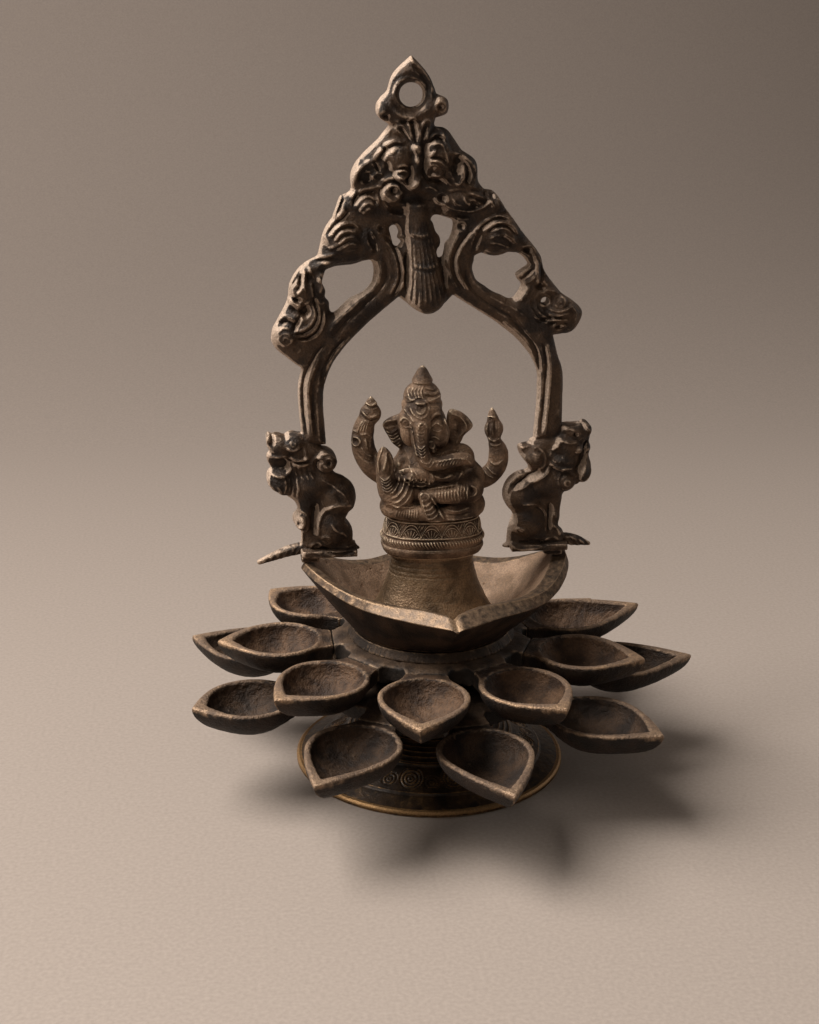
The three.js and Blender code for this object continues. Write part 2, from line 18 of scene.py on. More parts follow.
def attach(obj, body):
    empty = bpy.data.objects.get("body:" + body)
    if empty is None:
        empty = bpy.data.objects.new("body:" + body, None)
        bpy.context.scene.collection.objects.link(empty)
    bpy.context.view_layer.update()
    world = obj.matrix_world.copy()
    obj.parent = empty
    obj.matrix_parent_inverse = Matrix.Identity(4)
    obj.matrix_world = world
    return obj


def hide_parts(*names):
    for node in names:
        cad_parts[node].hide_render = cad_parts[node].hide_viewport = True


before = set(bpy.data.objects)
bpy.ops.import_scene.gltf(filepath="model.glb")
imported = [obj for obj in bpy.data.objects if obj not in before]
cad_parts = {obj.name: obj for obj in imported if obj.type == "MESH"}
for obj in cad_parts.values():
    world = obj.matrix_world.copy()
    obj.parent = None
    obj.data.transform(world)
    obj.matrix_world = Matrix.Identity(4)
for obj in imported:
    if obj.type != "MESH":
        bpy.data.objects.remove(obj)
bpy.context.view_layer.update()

log = logging.getLogger("oil_lamp")

MM = 0.001
# Settings of the nodes that rise smoothly and of those that mix colours
SMOOTH = {"interpolation_type": "SMOOTHSTEP"}
COLOUR = {"data_type": "RGBA"}
Table = tuple[tuple[float, ...], ...]

# Heights at which the stacked pieces rest, as the solids have them
STEM_BASE = 19.6
LOWER_HUB_BASE = 33.3
SPACER_BASE = 43.3
UPPER_HUB_BASE = 50.3
COLLAR_BASE = 60.3
BOWL_BASE = 64.3
PEDESTAL_BASE = 68.1
SEAT_BASE = 98.3
FIGURE_BASE = 116.8
POST_BASE = 95.5
ARCH_BASE = 98.4
BORE = 4.3


class Body(Enum):
    """Groups of pieces that turn together about the rod."""

    STAND = "stand"
    LOWER = "lower_tier"
    UPPER = "upper_tier"
    HEAD = "head"


class Slot(Enum):
    """Material slots of the record."""

    FOOT = "foot"
    CUPS = "cups"
    BOWL = "bowl"
    WORN = "worn_brass"
    FIGURE = "figure"
    ARCH = "arch"
    HARDWARE = "hardware"


# Closed outer edge of the arch in runs that meet at corners: x and height above the foot plates of the
# first point, then the step to each next one, as in all outlines and chased lines
ARCH_OUTLINE: Table = (
    (-56, 49, -1.5, 17, 0, 9, 1.5, 7), (-56, 82, -6.5, 5, -5, 5, -0.5, 6, 6, 12, 1.5, 7, 5, 8, 6.5, 4),
    (-49, 129, 2.5, 9, 4, 7, 3, 8), (-39.5, 153, 4, 2.5, 0.5, 6, 3.5, 7, 7, 7, 4.5, 5.5),
    (-20, 181, -4.5, 3.5, 0, 5.5, 3.5, 4), (-21, 194, 2.5, 7, 7.3, 6.7),
    (-11.2, 207.7, 6.7, -7.2, 3.5, -7.5), (-1, 193, 4.5, -2.5, 0, -5, -4.5, -2),
    (-1, 183.5, -0.5, -3, 5, -1.5, 6, -8), (9.5, 171, 6, -4.5, 1, -7.5, 2.5, -3.5),
    (19, 155.5, 4, -1, 4, -5.5, 7, -9.5), (34, 139.5, 9, -10.5, 2.5, -7.5, 7.5, -9.5),
    (53, 112, 7.5, -5, 1.5, -4.5, -4, -6.5, -8, -1.5), (50, 94.5, 2.5, -9, 2.5, -9.5, 0.5, -27),
    (55.5, 49, -12.5, 0), (43, 49, 1, 24, -2, 10, -7, 9.5, -10.5, 8.5, -17.5, 11),
    (7, 112, -4.5, -4.5, -5, -3, -6, 2, -7, 5), (-15.5, 111.5, -12.5, -10.5, -11.5, -12, -6, -11, -1.5, -11,
     1, -18), (-46, 49, -10, 0),
)
# Closed outlines of the arch's openings and of the two beasts
ARCH_OPENINGS: Table = (
    (-47, 120.5, 1.5, 2.5, 4.5, 1.5, 6, 0.5, 4.5, 1.5, 2.5, 0.5, 1.5, -1.5, 0.5, -3.5, -1, -4.5, -3.5, -3.5,
     -5, -2.5, -3.5, -3, -3.5, -3, -1.5, 1, -0.5, 3.5, -1.5, 2, 0, 3, -1.5, 3), (15.5, 126, 0.5, 2.5, 2, 1,
     3, -1, 3, -0.5, 3, 0.5, 2.5, 1, 2, 0, 2.5, -0.5, 2.5, -2, 1.5, -2.5, -2, -1.5, -2.7, -2, 0.2, -2, 2,
     -2.5, -0.5, -2, -1.5, -2.5, -1.5, -1.5, -2, 0, -3, 1.5, -3.5, 1.5, -3, 2, -3, 2, -1.5, 2, -1, 3.5),
    (-19.5, 140, 2, 1, 1.5, -2.5, -0.5, -2.5, 1.5, -1.5, -1.5, -2, -1.5, 1, -1, 3.5), (-2.5, 143.5, 1.5,
     1.5, 3, -0.5, 2, -0.5, 2, -1, 0.5, -2, -0.5, -3, -1, -2.5, -1.5, -1.5, -0.5, -2, -0.5, -3, -1, -1, -1,
     0, -1, 2.5, 1.5, 1.5, 0.5, 2.5, -0.5, 2, -1.5, 2, -1, 3),
)
BEASTS: Table = (
    (-54.7, 53.7, -3.8, 0.7, -2.9, -0.1, -2.1, -1.7, -2.5, 1.1, -2.9, 0.7, -2.1, -0.8, -0.1, -3.9, 1.2,
     -2.9, -1.4, -1.7, 0.3, -2.8, 1.2, -2.9, -1.3, -1.9, -0.2, -3.1, 1.2, -2.7, 3.3, -2.3, 3.8, -2.8, 2.9,
     -2.1, 1.5, -2.5, -0.1, -1.8, -1.5, -1.7, -0.4, -2, 0.8, -2.3, 2.1, -2.1, 0.8, -2.8, 0, -3.1, 0, -4.1,
     23.6, -0.8, 0.2, 2.3, -1.5, 2.3, 0, 3.2, -0.8, 3.2, -2.2, 2.3, -0.8, 2.1, 2.1, 1.9, 2, 2, 1, 3.8, -0.4,
     4, -1.7, 3.6, -3.4, 2.8, -4.4, 2.1, 1.5, 3.7, 0, 2.2, -1.7, 2.5, -3.8, 2.5), (42.1, 49.5, -0.8, -1.7,
     -3.9, -0.8, -1, -1.3, 1.2, -3.2, 2.7, -3.6, 1.4, -2.3, -1.3, -1.3, -3.4, -0.8, -3.4, -2.1, -2.6, -3.6,
     -0.7, -4, 1, -3.7, 2.7, -3.7, 1.9, -2.8, -0.4, -2.3, -2.1, -2.7, -0.4, -3.2, -0.1, -3.7, -0.1, -2.7,
     25.4, 0, -0.4, 6.6, -1.4, 1.8, -1.4, 2.9, 0.7, 2.7, -0.1, 4.1, 0.7, 4.1, 1.2, 2.7, 2.6, 2.2, 3.4, 1.7,
     3.4, 3.1, 1.8, 3.5, 0.1, 2.7, -1, 3.7, 0.7, 3.3, -0.8, 2.5, 0.3, 2.6, 0.1, 3.2, -1, 2.2, -2.2, 0.9,
     -3.4, -1.2, -3.5, -0.2, -3.5, 0.6, -2.5, -2.4),
)
# Chased lines on the arch: width, height (negative for a groove), then the points
ARCH_STROKES: Table = (
    (1.03, 0.7, -2.7, 193.9, -0.8, 3.8, -3.3, 4.6, -4.8, 3.7),
    (0.86, -0.7, -4.3, 193.9, -0.8, 3.4, -2.8, 3.8, -3.6, 3),
    (1.12, 0.7, -18.1, 186.2, 3.6, -1.9, 4.8, 0.4, 4.7, 2.3), (1.72, -2.6, -21.5, 185, 0, -1.1),
    (1.63, -2.4, 0.1, 188.5, 0.2, -1.1), (1.12, 0.9, -22.5, 180, 3.2, 2.3, 3.2, 0),
    (0.77, 1.1, -10.4, 172.2, -4.1, 4.7, -2.8, 2.3, 0.4, 1.6, 2.4, -0.4, 2, -3.1, 2.1, -4.3),
    (0.77, 1.2, -9.6, 173.4, -2.1, 4.7, -0.8, 3.8, 1.6, 2, 1.6, -1.6, 0.8, -4.2, 0.1, -4.3),
    (0.77, 1.1, -7.2, 173.8, -0.5, 5, 1.6, 3.5, 2, 0.4, 0, -3.1, -1.5, -3.9, -1.2, -2.7),
    (0.77, -0.9, -10.9, 181.6, 0.6, -3.9, 0.7, -3.5), (0.69, -0.8, -15.7, 179.2, 2.5, -3.1, 2.4, -3.1),
    (0.69, -0.8, -5.7, 180.8, -0.5, -3.1, -1, -3.5), (0.86, 0.8, -20.9, 177.7, 1.6, 1.9, 2, -1.9),
    (0.95, 0.9, -1.7, 180, 2.5, -1.2, 1.6, -2.7), (2.15, 1, -9.5, 168.3, -0.4, -3.9, -0.4, -4),
    (0.95, -1.2, -12.3, 165.6, 0.8, -3.6, -2, -2.8), (1.12, -1.3, -5.9, 167.5, -0.4, -4.7, 2.5, -3.6),
    (1.03, 1.1, -26, 168.3, 3.6, 4.3, 4, 2.4, 4, -0.4), (0.77, -1.1, -24.8, 167.2, 3.6, 4.3, 3.6, 1.9, 3.6,
     -0.4), (0.86, 0.8, -22.8, 164.4, 1.2, 4.3, 3.2, 3.1), (0.95, 1, -4.4, 175.7, 2.8, 2, 3.2, -1.2, 2.1,
     -4.3), (0.77, -1.1, -4, 174.2, 2.8, 1.7, 2.4, -1.2, 1.5, -3.3),
    (0.95, 1, -4, 171.8, 2.8, 2.2, 2.5, -1.4, 1.7, -4.3, 0.4, -4),
    (1.5, 1.5, -24.4, 157.5, 2.5, 2.2, 3.5, 0.8, 3.2, -0.7, 2.2, -2, 1.6, -0.9, 1.9, 1.2, 1.9, 2.7),
    (0.8, -1.3, -22.7, 156.7, 1.3, 1.3, 2.4, 0.6, 2.5, -0.6, 1.3, -2.2), (1.3, 1.5, -22.7, 155.9, 0.5, -2.4,
     2.5, -2, 2.7, 0.1, 1.9, 2.1, -0.2, 2.4, -1.8, 1.6, -2.7, 0.3, -1.9, -1.3),
    (1.9, -2.6, -18.9, 156.1, 0.5, -1.3), (1.1, 1.4, -17.4, 152.9, 0.9, 0.5),
    (0.9, 1.1, -17.4, 164.3, 1.4, 0.9, 1.6, 0.3, 1.6, -0.7),
    (0.7, -1.2, -17.1, 163.8, 1.3, 0.7, 1.6, 0.2, 1.3, -0.5),
    (0.9, 1.1, -17, 162.9, 1, 0.7, 1.4, 0.2, 1.5, -0.7), (0.9, -1.2, -16.7, 162.2, 1.5, 0.6, 1.7, -0.6),
    (0.9, 1, -17.1, 161.1, 1.9, -0.8, 2.2, 1.1), (0.9, -1.2, -22, 166.4, 1.2, -0.5, 0.3, -2.1),
    (0.9, 1.1, -11, 170.9, 0, 1.3, 1.1, 0.9, 1.3, -0.2), (1.2, 1.3, -9.4, 169.5, 0.6, -1, -0.2, -2.1),
    (1.5, -2, -6, 174.5, -0.3, -3.7, 0.4, -3.9, -0.1, -4.2),
    (1.1, 1.2, -4.8, 172.4, 1.6, 1.6, 3, 0.3, 2.7, -1.6, 1.9, -2.9),
    (0.9, 1.2, -3.9, 168.6, 0.8, 1.5, 1.1, 1.3), (0.9, -1.3, -4.5, 168.2, 2.7, 0.3, 2.7, -0.8, 1.7, -1.9),
    (1.2, 1.2, -5.1, 166.1, 1.4, 1.4, 2.8, -0.2, 2.4, -1.2, 1.6, -2.4, 0.4, -2.6),
    (0.7, 1.1, -4.4, 164.8, 1.6, 1, 2.4, -0.9), (2.2, -1.8, -3.6, 163.5, 1.9, -0.6, 1.6, 0.3),
    (1, 1.1, -4.4, 160.3, 2.5, 0.9, 3, -0.5, 2.2, -2, 1.3, -0.6), (1.3, -1.4, -4.4, 159.5, 2.8, 0, 3, -0.8),
    (0.9, 1, -5.9, 156.6, 1.6, 0.2, 1.6, -0.5, 2, -1.3), (1.03, 1.1, -23.2, 154.9, 0.9, -4.3, 2, -2),
    (0.95, 1.4, -2, 152, 2.8, -1.6, 3.3, -2, 5.4, -1.4, 5.3, 0.3, 4.9, 2.2, 2.8, 2.4),
    (0.86, 1.1, 12.6, 154.6, 4.1, -1.5, 3.8, -1.6), (0.69, -1, 11.8, 153.2, 4.1, -1.5, 3.4, -1.4),
    (1.29, -1.8, 1, 152.2, 0.6, -0.4), (0.69, 0.9, 5.3, 152.4, 1.7, -2.4, 2.8, -0.8),
    (0.69, 0.9, 9.8, 152.8, 1.3, -2.4, 3.2, -0.9), (0.65, 0.8, 14.3, 152.3, 0.9, -2, 2.8, -0.2),
    (0.95, 1, 3.6, 155.2, 4.1, 0.8, 4.9, -0.1), (0.95, 1.1, 20.4, 155.5, 1.3, -3.2, 0.5, -4),
    (0.77, -0.9, 18.7, 154.3, 1, -3.6), (1.03, 1, -34.8, 157.4, 1.2, 4.7, 3.2, 3.5, 4, 2),
    (1.03, -1.5, -32.4, 158.9, 1.2, 3.6, 3.2, 2.3), (0.73, 1, -29.6, 163.7, 2.4, 1.9, 2, -0.4),
    (0.77, 1, -27.2, 160.9, 2.4, 1.6, 2, -0.8), (0.77, 1, -30.4, 159.3, 2.4, 1.6, 2.8, -1.6),
    (0.86, 1.1, -35.2, 153, 4, 2.8, 4.8, 0.9, 4, 0.6), (0.77, -1.2, -34.4, 151.4, 4, 2.8, 4.4, 1.1),
    (0.82, 1.1, -33.6, 148.6, 2, 3.2, 3.2, 1.2, 3.2, -1.6), (0.73, 1, -32, 147.4, 1.6, 2.6, 2.4, 0.8, 2,
     -1.4), (0.69, 0.9, -30.4, 146.6, 1.2, 1.6, 1.6, 0.2), (1.12, 1.4, -25.2, 153.4, 0.7, -2.4, -0.6, -2.4),
    (0.95, 1.1, 3.7, 170.6, 4.9, -1.2, 4.6, -3.1, 2.1, -4.4, -1.1, -4.4),
    (1.12, -1.6, 6.2, 167.5, 4.1, -1.6, 2.1, -4, -1.1, -3.6),
    (0.77, 1, 6.7, 165.1, 2.4, -1.2, 0.9, -3.2, -2, -2.7), (0.77, 1, 4.3, 163.5, 1.3, -3.9, 2.9, -2.8),
    (0.95, 1, 3.6, 157.2, 5.7, 0.8, 5.7, -1.7, 4.9, -0.8), (0.65, 0.75, -12.2, 150.5, -0.1, -5.2, 0, -7.9),
    (0.65, 0.75, -11.6, 138, 0.2, -6.4, 0.1, -6.8), (0.65, 0.75, -11.1, 150.5, 0, -5.2, 0.3, -7.9),
    (0.65, 0.75, -10.3, 138, 0.5, -6.5, 0.3, -6.7), (0.65, 0.75, -10, 150.5, 0.2, -5.2, 0.5, -7.9),
    (0.65, 0.75, -8.9, 138, 0.7, -6.5, 0.6, -6.7), (0.65, 0.75, -8.9, 150.5, 0.4, -5.2, 0.7, -7.9),
    (0.65, 0.75, -7.5, 138, 0.8, -6.5, 0.9, -6.7), (0.65, 0.75, -7.9, 150.5, 0.7, -5.2, 0.9, -7.9),
    (0.65, 0.75, -6.2, 138, 1.1, -6.5, 1.2, -6.7), (0.65, 0.75, -6.8, 150.5, 0.9, -5.2, 1.1, -7.9),
    (0.65, 0.75, -4.8, 138, 1.3, -6.5, 1.4, -6.7), (0.65, 0.75, -5.7, 150.5, 1.1, -5.3, 1.3, -7.8),
    (0.65, 0.75, -3.5, 138, 1.6, -6.5, 1.7, -6.7), (0.69, 0.8, -0.8, 125.4, 2.4, -7.9, 1.8, -7.9),
    (0.77, 0.5, -12.9, 138.9, 5.3, -1.3, 4.9, 1.4), (0.6, -0.45, -12.9, 137.2, 5.4, -1.2, 5.3, 1.4),
    (0.77, 0.45, -12, 126.7, 6.2, -1.9, 5.8, 1.7), (0.6, -0.4, -11.9, 125, 6.2, -1.7, 6.1, 1.6),
    (0.95, -1.6, -38.9, 151.5, -1, -2.8, -1.4, -2.8), (0.95, -1.5, -36.4, 147.1, -2.5, -2.8, -3.6, -3.2, -2,
     -2.8), (0.9, 1.1, -44.1, 137.9, 2.4, 3, 3.6, 1.6, 3.7, -0.2, 2.4, -2.5),
    (0.65, -1, -42.9, 136.1, 2, 3.2, 3.2, 1.6, 3.3, -0.3), (0.82, 1, -42.1, 135.9, 2, 2.8, 3.2, 1, 3.3,
     -0.7), (0.65, -0.9, -41.3, 135.1, 2.4, 2.4, 2.8, 0.9), (0.86, 1, -44.2, 132.3, 3.3, 2, 3.2, 2.8, 2.9,
     0.1, 2, -1.4), (0.65, -0.8, -42.6, 131.9, 3.3, 2.3, 3.2, 1.6),
    (0.77, 0.9, -41.3, 131.4, 2.8, 2, 2.8, 1.2, 2.5, -0.8), (0.73, 0.8, -39.3, 130.2, 2.8, 1.6, 3.3, 0),
    (0.86, 0.8, -49.1, 128.3, 3.3, 0.8, 4, 1.1), (0.73, -1.1, -51.5, 126.3, 4, 1.1, 4.9, 1.2),
    (1.12, 0.9, -46.2, 125.8, 6.1, 1.2, 6.5, 0.7, 3.2, 2.8), (1.03, -1.2, -23.7, 140.4, 0.6, -0.4),
    (0.95, 0.9, -27.5, 139, 1.2, -4.1, -1.2, -4), (0.69, -1.1, -55.6, 124.7, -2, -3.6, -2.1, -3.7),
    (0.86, 0.8, -56.8, 125.5, -2.1, -4, -2, -4.9), (0.65, 1, -22.7, 136.5, 3.7, -4.9, 2.1, -6.1, 0.1, -6.2,
     -2.9, -5.7), (0.69, -1.1, -21, 136.5, 3.7, -5.7, 1.7, -6.5, 0, -5.8, -2.8, -5.7),
    (0.73, 1, -19.4, 136.5, 3.7, -6.1, 1.7, -7, -0.3, -5.7, -2.9, -5.4),
    (1.46, 1, -24.2, 126.8, 0.4, -5.7, -3.3, -5.7, -6.5, -5.7, -6.6, -5.7, -4.2, -5),
    (0.95, -0.8, -21.8, 128.4, 0.9, -7.4, -3.3, -6.5, -6.2, -5.7, -7.4, -6.5, -5.4, -6.6),
    (0.73, 0.9, -36.1, 95.5, -5.4, -6.2, -3.8, -7.1, -1.7, -7.6),
    (0.69, -1, -37.8, 95.6, -5.4, -5.8, -3.8, -7.6, -1.7, -7.6),
    (0.82, 1.3, -54.4, 123.5, -0.4, -4.1, 0.3, -4.1), (0.95, 1.1, -52.3, 124.3, 0.3, -6.2, 0.8, -5.7),
    (1.03, -1.7, -56, 121.4, -0.9, -5.7), (0.86, 1.3, -57.3, 117.8, 1.2, -1.7, -1.2, -2),
    (0.77, 1, -59.7, 115.8, 1.5, -2.9, 2.9, -0.9), (0.82, 1.2, -60.6, 111.3, 2.4, -1.7, 2.9, -0.5, 2.8,
     2.1), (1.46, -2, -59.8, 107.6, 3.6, -1.3, 2.9, 0.3), (0.86, 0.9, -49.1, 120.5, 1.6, -2.8, -0.9, -3.3),
    (0.86, 0.9, -50, 111.9, 2, -2, 1.7, 0.8), (0.73, 1.2, -51.3, 109.9, 0.8, -4.1, -1.6, -3.7, -3.3, -2.5,
     -3.3, -1.2), (0.6, -1, -50, 109.5, 0.7, -4.6, -2, -4.1, -3.8, -2.7, -3.2, -0.5),
    (0.73, 1.2, -48.8, 108.6, 0.4, -4.5, -2.1, -4.6, -3.7, -2.4, -4.6, -0.4),
    (0.6, -1, -47.8, 107.8, 0.2, -4.6, -1.7, -4.5, -4.1, -2.9, -4.1, -0.3),
    (0.73, 1.1, -46.8, 106.5, 0, -4.5, -2.1, -4.6, -3.7, -2.4, -4.1, -0.6),
    (0.86, 1, -66, 102.7, 3.3, 2, 3.2, -0.9), (0.86, -1.4, -64.8, 101, 3.3, 1.6, 2.8, -1.3),
    (0.65, 0.9, -64.1, 94.7, 1.2, 1.9, 1.7, -1.1), (0.69, 0.9, -65.7, 97.7, 1.7, 2.5, 2.8, -0.1),
    (0.69, 0.9, -63.7, 92.2, 2.8, 1.2, 1.3, 2.5), (1.38, 0.6, -57.2, 55, -1.1, 14.7, 0.5, 7.7, 2.2, 6.7),
    (0.82, -1.1, -54.3, 54.1, -1.3, 15.5, 0.7, 8.6, 3.4, 8.4, 5, 7),
    (0.9, 0.8, -52.2, 54, -1.3, 15.6, 0.7, 8.5, 3.4, 8.4), (0.65, -0.9, -50.5, 52.3, -1.1, 16.4, 0.9, 9,
     3.4, 8.4), (0.69, 0.8, -48.9, 50.5, -0.9, 18.2, 1.2, 8.5, 3.3, 8.4),
    (0.9, 1, 14.6, 138.2, 3.2, 3.7, 4.5, 2.8, 4.1, 0.3, 3.8, -2.4),
    (0.65, -1, 16.2, 139, 3.7, 3, 4, 2, 4.6, -0.6), (0.86, 1.2, 18.7, 139, 3.7, 3, 3.2, 0.8, 4.2, -1.4, 3,
     -3.7), (0.65, -1, 20.4, 139, 3.6, 2.2, 3.8, -0.2, 3.4, -2.9),
    (0.73, 0.9, 22, 139, 3.3, 1.4, 3.3, -0.9, 3, -3.9), (0.69, 0.9, 20.9, 136.1, 2.4, 1.4, 2.1, -0.2),
    (0.73, 1, 26.6, 138.1, 2.9, -1.6, 3, -2.9), (0.65, -0.9, 25.4, 136.9, 2.9, -1.6, 2.6, -2.5),
    (0.77, 0.8, 21.3, 134.1, 3.8, -0.4, 4.2, -1.7), (1.03, 0.8, 18.9, 131.7, 4.6, -1.3, 5.4, 1.2),
    (1.03, -1.2, 9.4, 140.9, 0.4, -0.4), (0.95, 1, 36.7, 132.7, 3, -0.4, 1.7, -2.9),
    (0.86, -1.2, 35.1, 131.1, 3.4, -1.7, 1.4, -3.3), (0.86, 0.9, 42.3, 128.6, 1.9, -5, 3.1, -5),
    (0.73, 1.2, 41.6, 126.1, 0.1, -4.1, 0.2, -5), (0.77, -1.2, 43.3, 125.3, 0.6, -5, -0.7, -4.2),
    (0.86, 1, 33.4, 119.6, 2.9, 2.4, 2.8, 2.1), (0.65, -1.1, 34.7, 118.3, 2.5, 1.7, 2.4, 2.4),
    (0.77, 0.9, 36, 116.6, 2.9, 1.7, 2, 2), (1.29, 0.9, 38.1, 115.8, -1.1, -3.3, -2.9, -2.9),
    (0.73, 1.1, 41.4, 107.8, 2.2, -3.4, 3.9, -2.2), (0.69, 1, 39.3, 106.6, 3.1, -4.3, 4.8, -2.2),
    (0.69, 1.2, 43.5, 106.5, 3.1, -2.3, 4.2, -0.5, 5.1, 1), (0.6, -1, 44.9, 105, 3, -2.1, 4.7, -0.3),
    (0.69, 1.1, 45.8, 101.4, 4.3, 0.4, 5.1, -0.1), (0.65, -1, 46.7, 100.1, 4.3, 0.2, 4.2, -0.3),
    (0.69, 1, 46.5, 106.5, 3.4, -1.1, 3.8, 0.5, 3.4, 1.7), (1.03, 1, 56.6, 107.6, 2.3, -3, -0.7, -3.8),
    (0.77, 1, 48.9, 98.4, 2.9, 2.1, 2.6, -1.3), (1.03, -1.4, 50.2, 98.4, 2.5, 0.4),
    (0.77, 0.9, 44.9, 114, 3.4, 0, 3, -1.3), (0.69, 1, 14.2, 138.2, -4, -5.6, -2, -5.3, 1, -6.2, 3.4, -6.2),
    (0.69, -1.1, 12.5, 138.2, -4, -5.6, -1.9, -5.7, 0.9, -6.2, 3.5, -5.8),
    (0.82, 1, 9.2, 138.7, -3.1, -5.7, -1.6, -5.7, 1, -6.6, 3, -5.8),
    (1.29, 0.8, 13.2, 126.4, 1, -5.8, 4.3, -5.8, 6.4, -4.3, 6.8, -3.4, 5.6, -4.3),
    (0.86, -0.8, 11.6, 123.1, 1, -4.9, 4.7, -6.3, 6.8, -4.7, 7.3, -4.3, 5.2, -5.1),
    (0.77, 1, 28.5, 101.3, 7, -6.1, 4.8, -6.4, 2.5, -9.1), (0.73, -1, 31, 102.1, 6.6, -6.5, 4.9, -6.5, 2,
     -9.4), (0.65, 0.9, 47.1, 91.2, 1.6, -8.6, -0.3, -15.2, -1.1, -15.8),
    (0.82, -1, 45.4, 91.2, 1.6, -8.6, -0.3, -15.1, -1.2, -15.8),
    (1.29, 0.5, 52.3, 89, 0.8, -8.6, 0.1, -13.1, -0.6, -8.7), (0.69, -0.5, 42.8, 79.7, 0, -12.1, 0, -13.2),
    (1.03, -2, -68.9, 53.6, 0.4, -2.6), (1.03, 1.5, -70.7, 46.2, 3.3, -1.2, 4.6, 0.6),
    (3, -4.6, -68.2, 41.9, 1.6, -0.6, 3.8, 0.8), (1.12, 1.3, -70.8, 38.3, 3.3, -1.2, 4.2, -0.3),
    (0.82, 1.3, -62, 42.9, 0.8, -3.1, -1.7, -2.6), (0.77, 1.1, -63.5, 49.7, 3.3, -1.4, 3.8, 1.7),
    (0.86, 1, -63.1, 53.2, 3, 1.2, 3.3, -0.7), (0.86, 1.2, -61.9, 45.1, 3.7, -1.2, 4.3, 1),
    (0.65, -1.2, -61.5, 43.8, 3.7, -1.2, 4.3, 0.8), (0.77, 1, -61.5, 42.3, 3.7, -1, 5.1, 0.9),
    (0.86, 1, -56.8, 52.4, 1.6, -4.4, 0.4, -4.4), (0.6, 0.8, -67.2, 32.5, 1.7, -2.3, 0, -2.6),
    (0.77, 0.8, -70, 37, -0.1, -3.5, 2.1, -3.2), (0.77, 1.2, -49.2, 44.6, 1, 1.2, 1.5, 0.6, 1.6, -0.1, 1.4,
     -0.7, 1, -1.2, 0.5, -1.6, -0.1, -1.6, -0.8, -1.4, -1.3, -1, -1.6, -0.3, -1.5, 0.4, -1.3, 1), (0.69, 1,
     -45.9, 44.7, 1.1, -0.2, 0.9, -0.6, 0.4, -1.1, -0.1, -1.1, -0.6, -0.9, -1, -0.5, -1.1, 0.1, -0.9, 0.7),
    (1.12, -1.4, -45.5, 42.5, 0.4, -0.5), (0.77, 1.1, -51.9, 39.1, -0.4, 3.1, 1.7, 2.2, 3, 0.3),
    (0.77, -1.4, -50.2, 40, 0.4, 2.6, 1.7, 0.4), (1.03, 1.1, -48.1, 35.1, 5.5, -3.7, 4.2, -3.7, 1.7, -4.6),
    (0.95, -0.8, -42.2, 28.2, 2.5, -3.2), (0.95, 1.4, -36.3, 23.1, -5.1, 0.6, -4.3, -1.6, -3, -3.5, -1.3,
     -5, 0.4, -4), (1.98, -3, -51.2, 22.7, -0.9, -5.8, 0, -5.9),
    (0.73, 0.9, -44.4, 15.3, 2.1, -2.8, 3.4, -1.9, 1.3, -2.3),
    (0.77, 1.3, -58.4, 21.1, 2.9, -1.4, 1.7, -3.7, -0.9, -3.6, -1.7, -1.7), (0.65, 1.1, -59.4, 17.4, 0.7,
     0.9, 0.9, 0.3, 0.9, -0.3, 0.6, -1, 0.2, -1.2, -0.2, -1.2, -0.7, -0.9, -0.9, -0.3, -0.9, 0.3),
    (1.03, -1.7, -58.1, 16.2, 0.2, -1), (0.95, 1, -56.9, 9.8, 0.4, -2.3),
    (0.65, 1.1, -53.5, 2.9, 1.3, 2.7, 2.6, 0.8, 0.4, -1.4, -2.6, -1.7),
    (0.86, 1.1, -49.2, 8.6, 3, 1.3, 1.3, -0.9), (0.73, 1, -48.8, 5.5, 6, -2.1, 7.8, 0.7),
    (0.6, -0.8, -48.3, 3.6, 6, -1.6, 7.3, 0.5), (0.65, 0.8, -48.3, 7.3, 2.5, -1.9, 1.3, 1.7),
    (2.15, -3.2, 64.6, 43.2, -0.7, -3.6, -1.6, -3.5), (1.29, -2.2, 66.1, 49, -1.1, -3.1, -0.4, -2.7),
    (0.82, 1.2, 54.3, 49.7, 3.5, -1, 3.5, 0.4, 2.1, 1.7), (1.03, -1.8, 59.9, 52.2, 1.3, -0.2),
    (0.86, 1, 64.4, 48.6, 2.6, 0.8), (0.86, 0.9, 64.5, 55.7, 2.3, -2.3, -0.3, -3.1),
    (0.86, 1.1, 65, 45, 2.6, -0.3), (0.69, 0.8, 55, 53.7, 2.6, 0.8, 2.2, -0.3),
    (0.82, 1.1, 49.5, 39.6, 4, -2.4, 4, -0.5, 3.4, 1.2), (0.69, 1, 53.9, 28.2, -0.2, 4.5, 1.6, 2.7, 3.5,
     0.3, 2.8, -2.3), (0.65, 0.9, 54.8, 37.2, 3.5, 0.1, 3.2, -1.7),
    (0.77, 0.9, 62.7, 27.5, 3.4, 2.6, 2.5, 4, -0.3, 5.4), (0.82, 1.1, 44.9, 46.4, 2.7, -3.2, 0.1, -4, -2.1,
     -2.7), (1.03, 1, 37, 46.1, 3.9, 0.8, 3.5, -1), (1.12, 1, 42.6, 36.2, -5.6, -2.1, -3.8, -3.5, -2.1,
     -4.5), (1.03, -1.6, 45.2, 36.1, -6, -3.9, -4.7, -3.5), (0.95, 1.3, 50.4, 39.1, -2.1, -4, -5.5, -3.4,
     -6.9, -3.5), (0.95, 1.4, 38.3, 21.8, 5.2, -0.1, 4.1, -2.9, 1.9, -4.6, -0.2, -5.1),
    (1.29, -2.6, 50.6, 20.5, 0, -5.9, 0, -5.5), (0.69, 1.1, 51.5, 20.5, 1.4, -2.8, 0.6, -3.2),
    (0.77, 0.9, 52.3, 11.3, 2.3, -2.3, 1, -2.8), (0.86, 0.9, 34.3, 8.7, 2.6, 1.7, 2.2, -0.5),
    (0.77, 0.9, 33.6, 2.7, 5.3, -1.5, 8, 0.6), (0.69, -0.9, 38, 3.5, 6.6, 0.7, 4.5, -1.5),
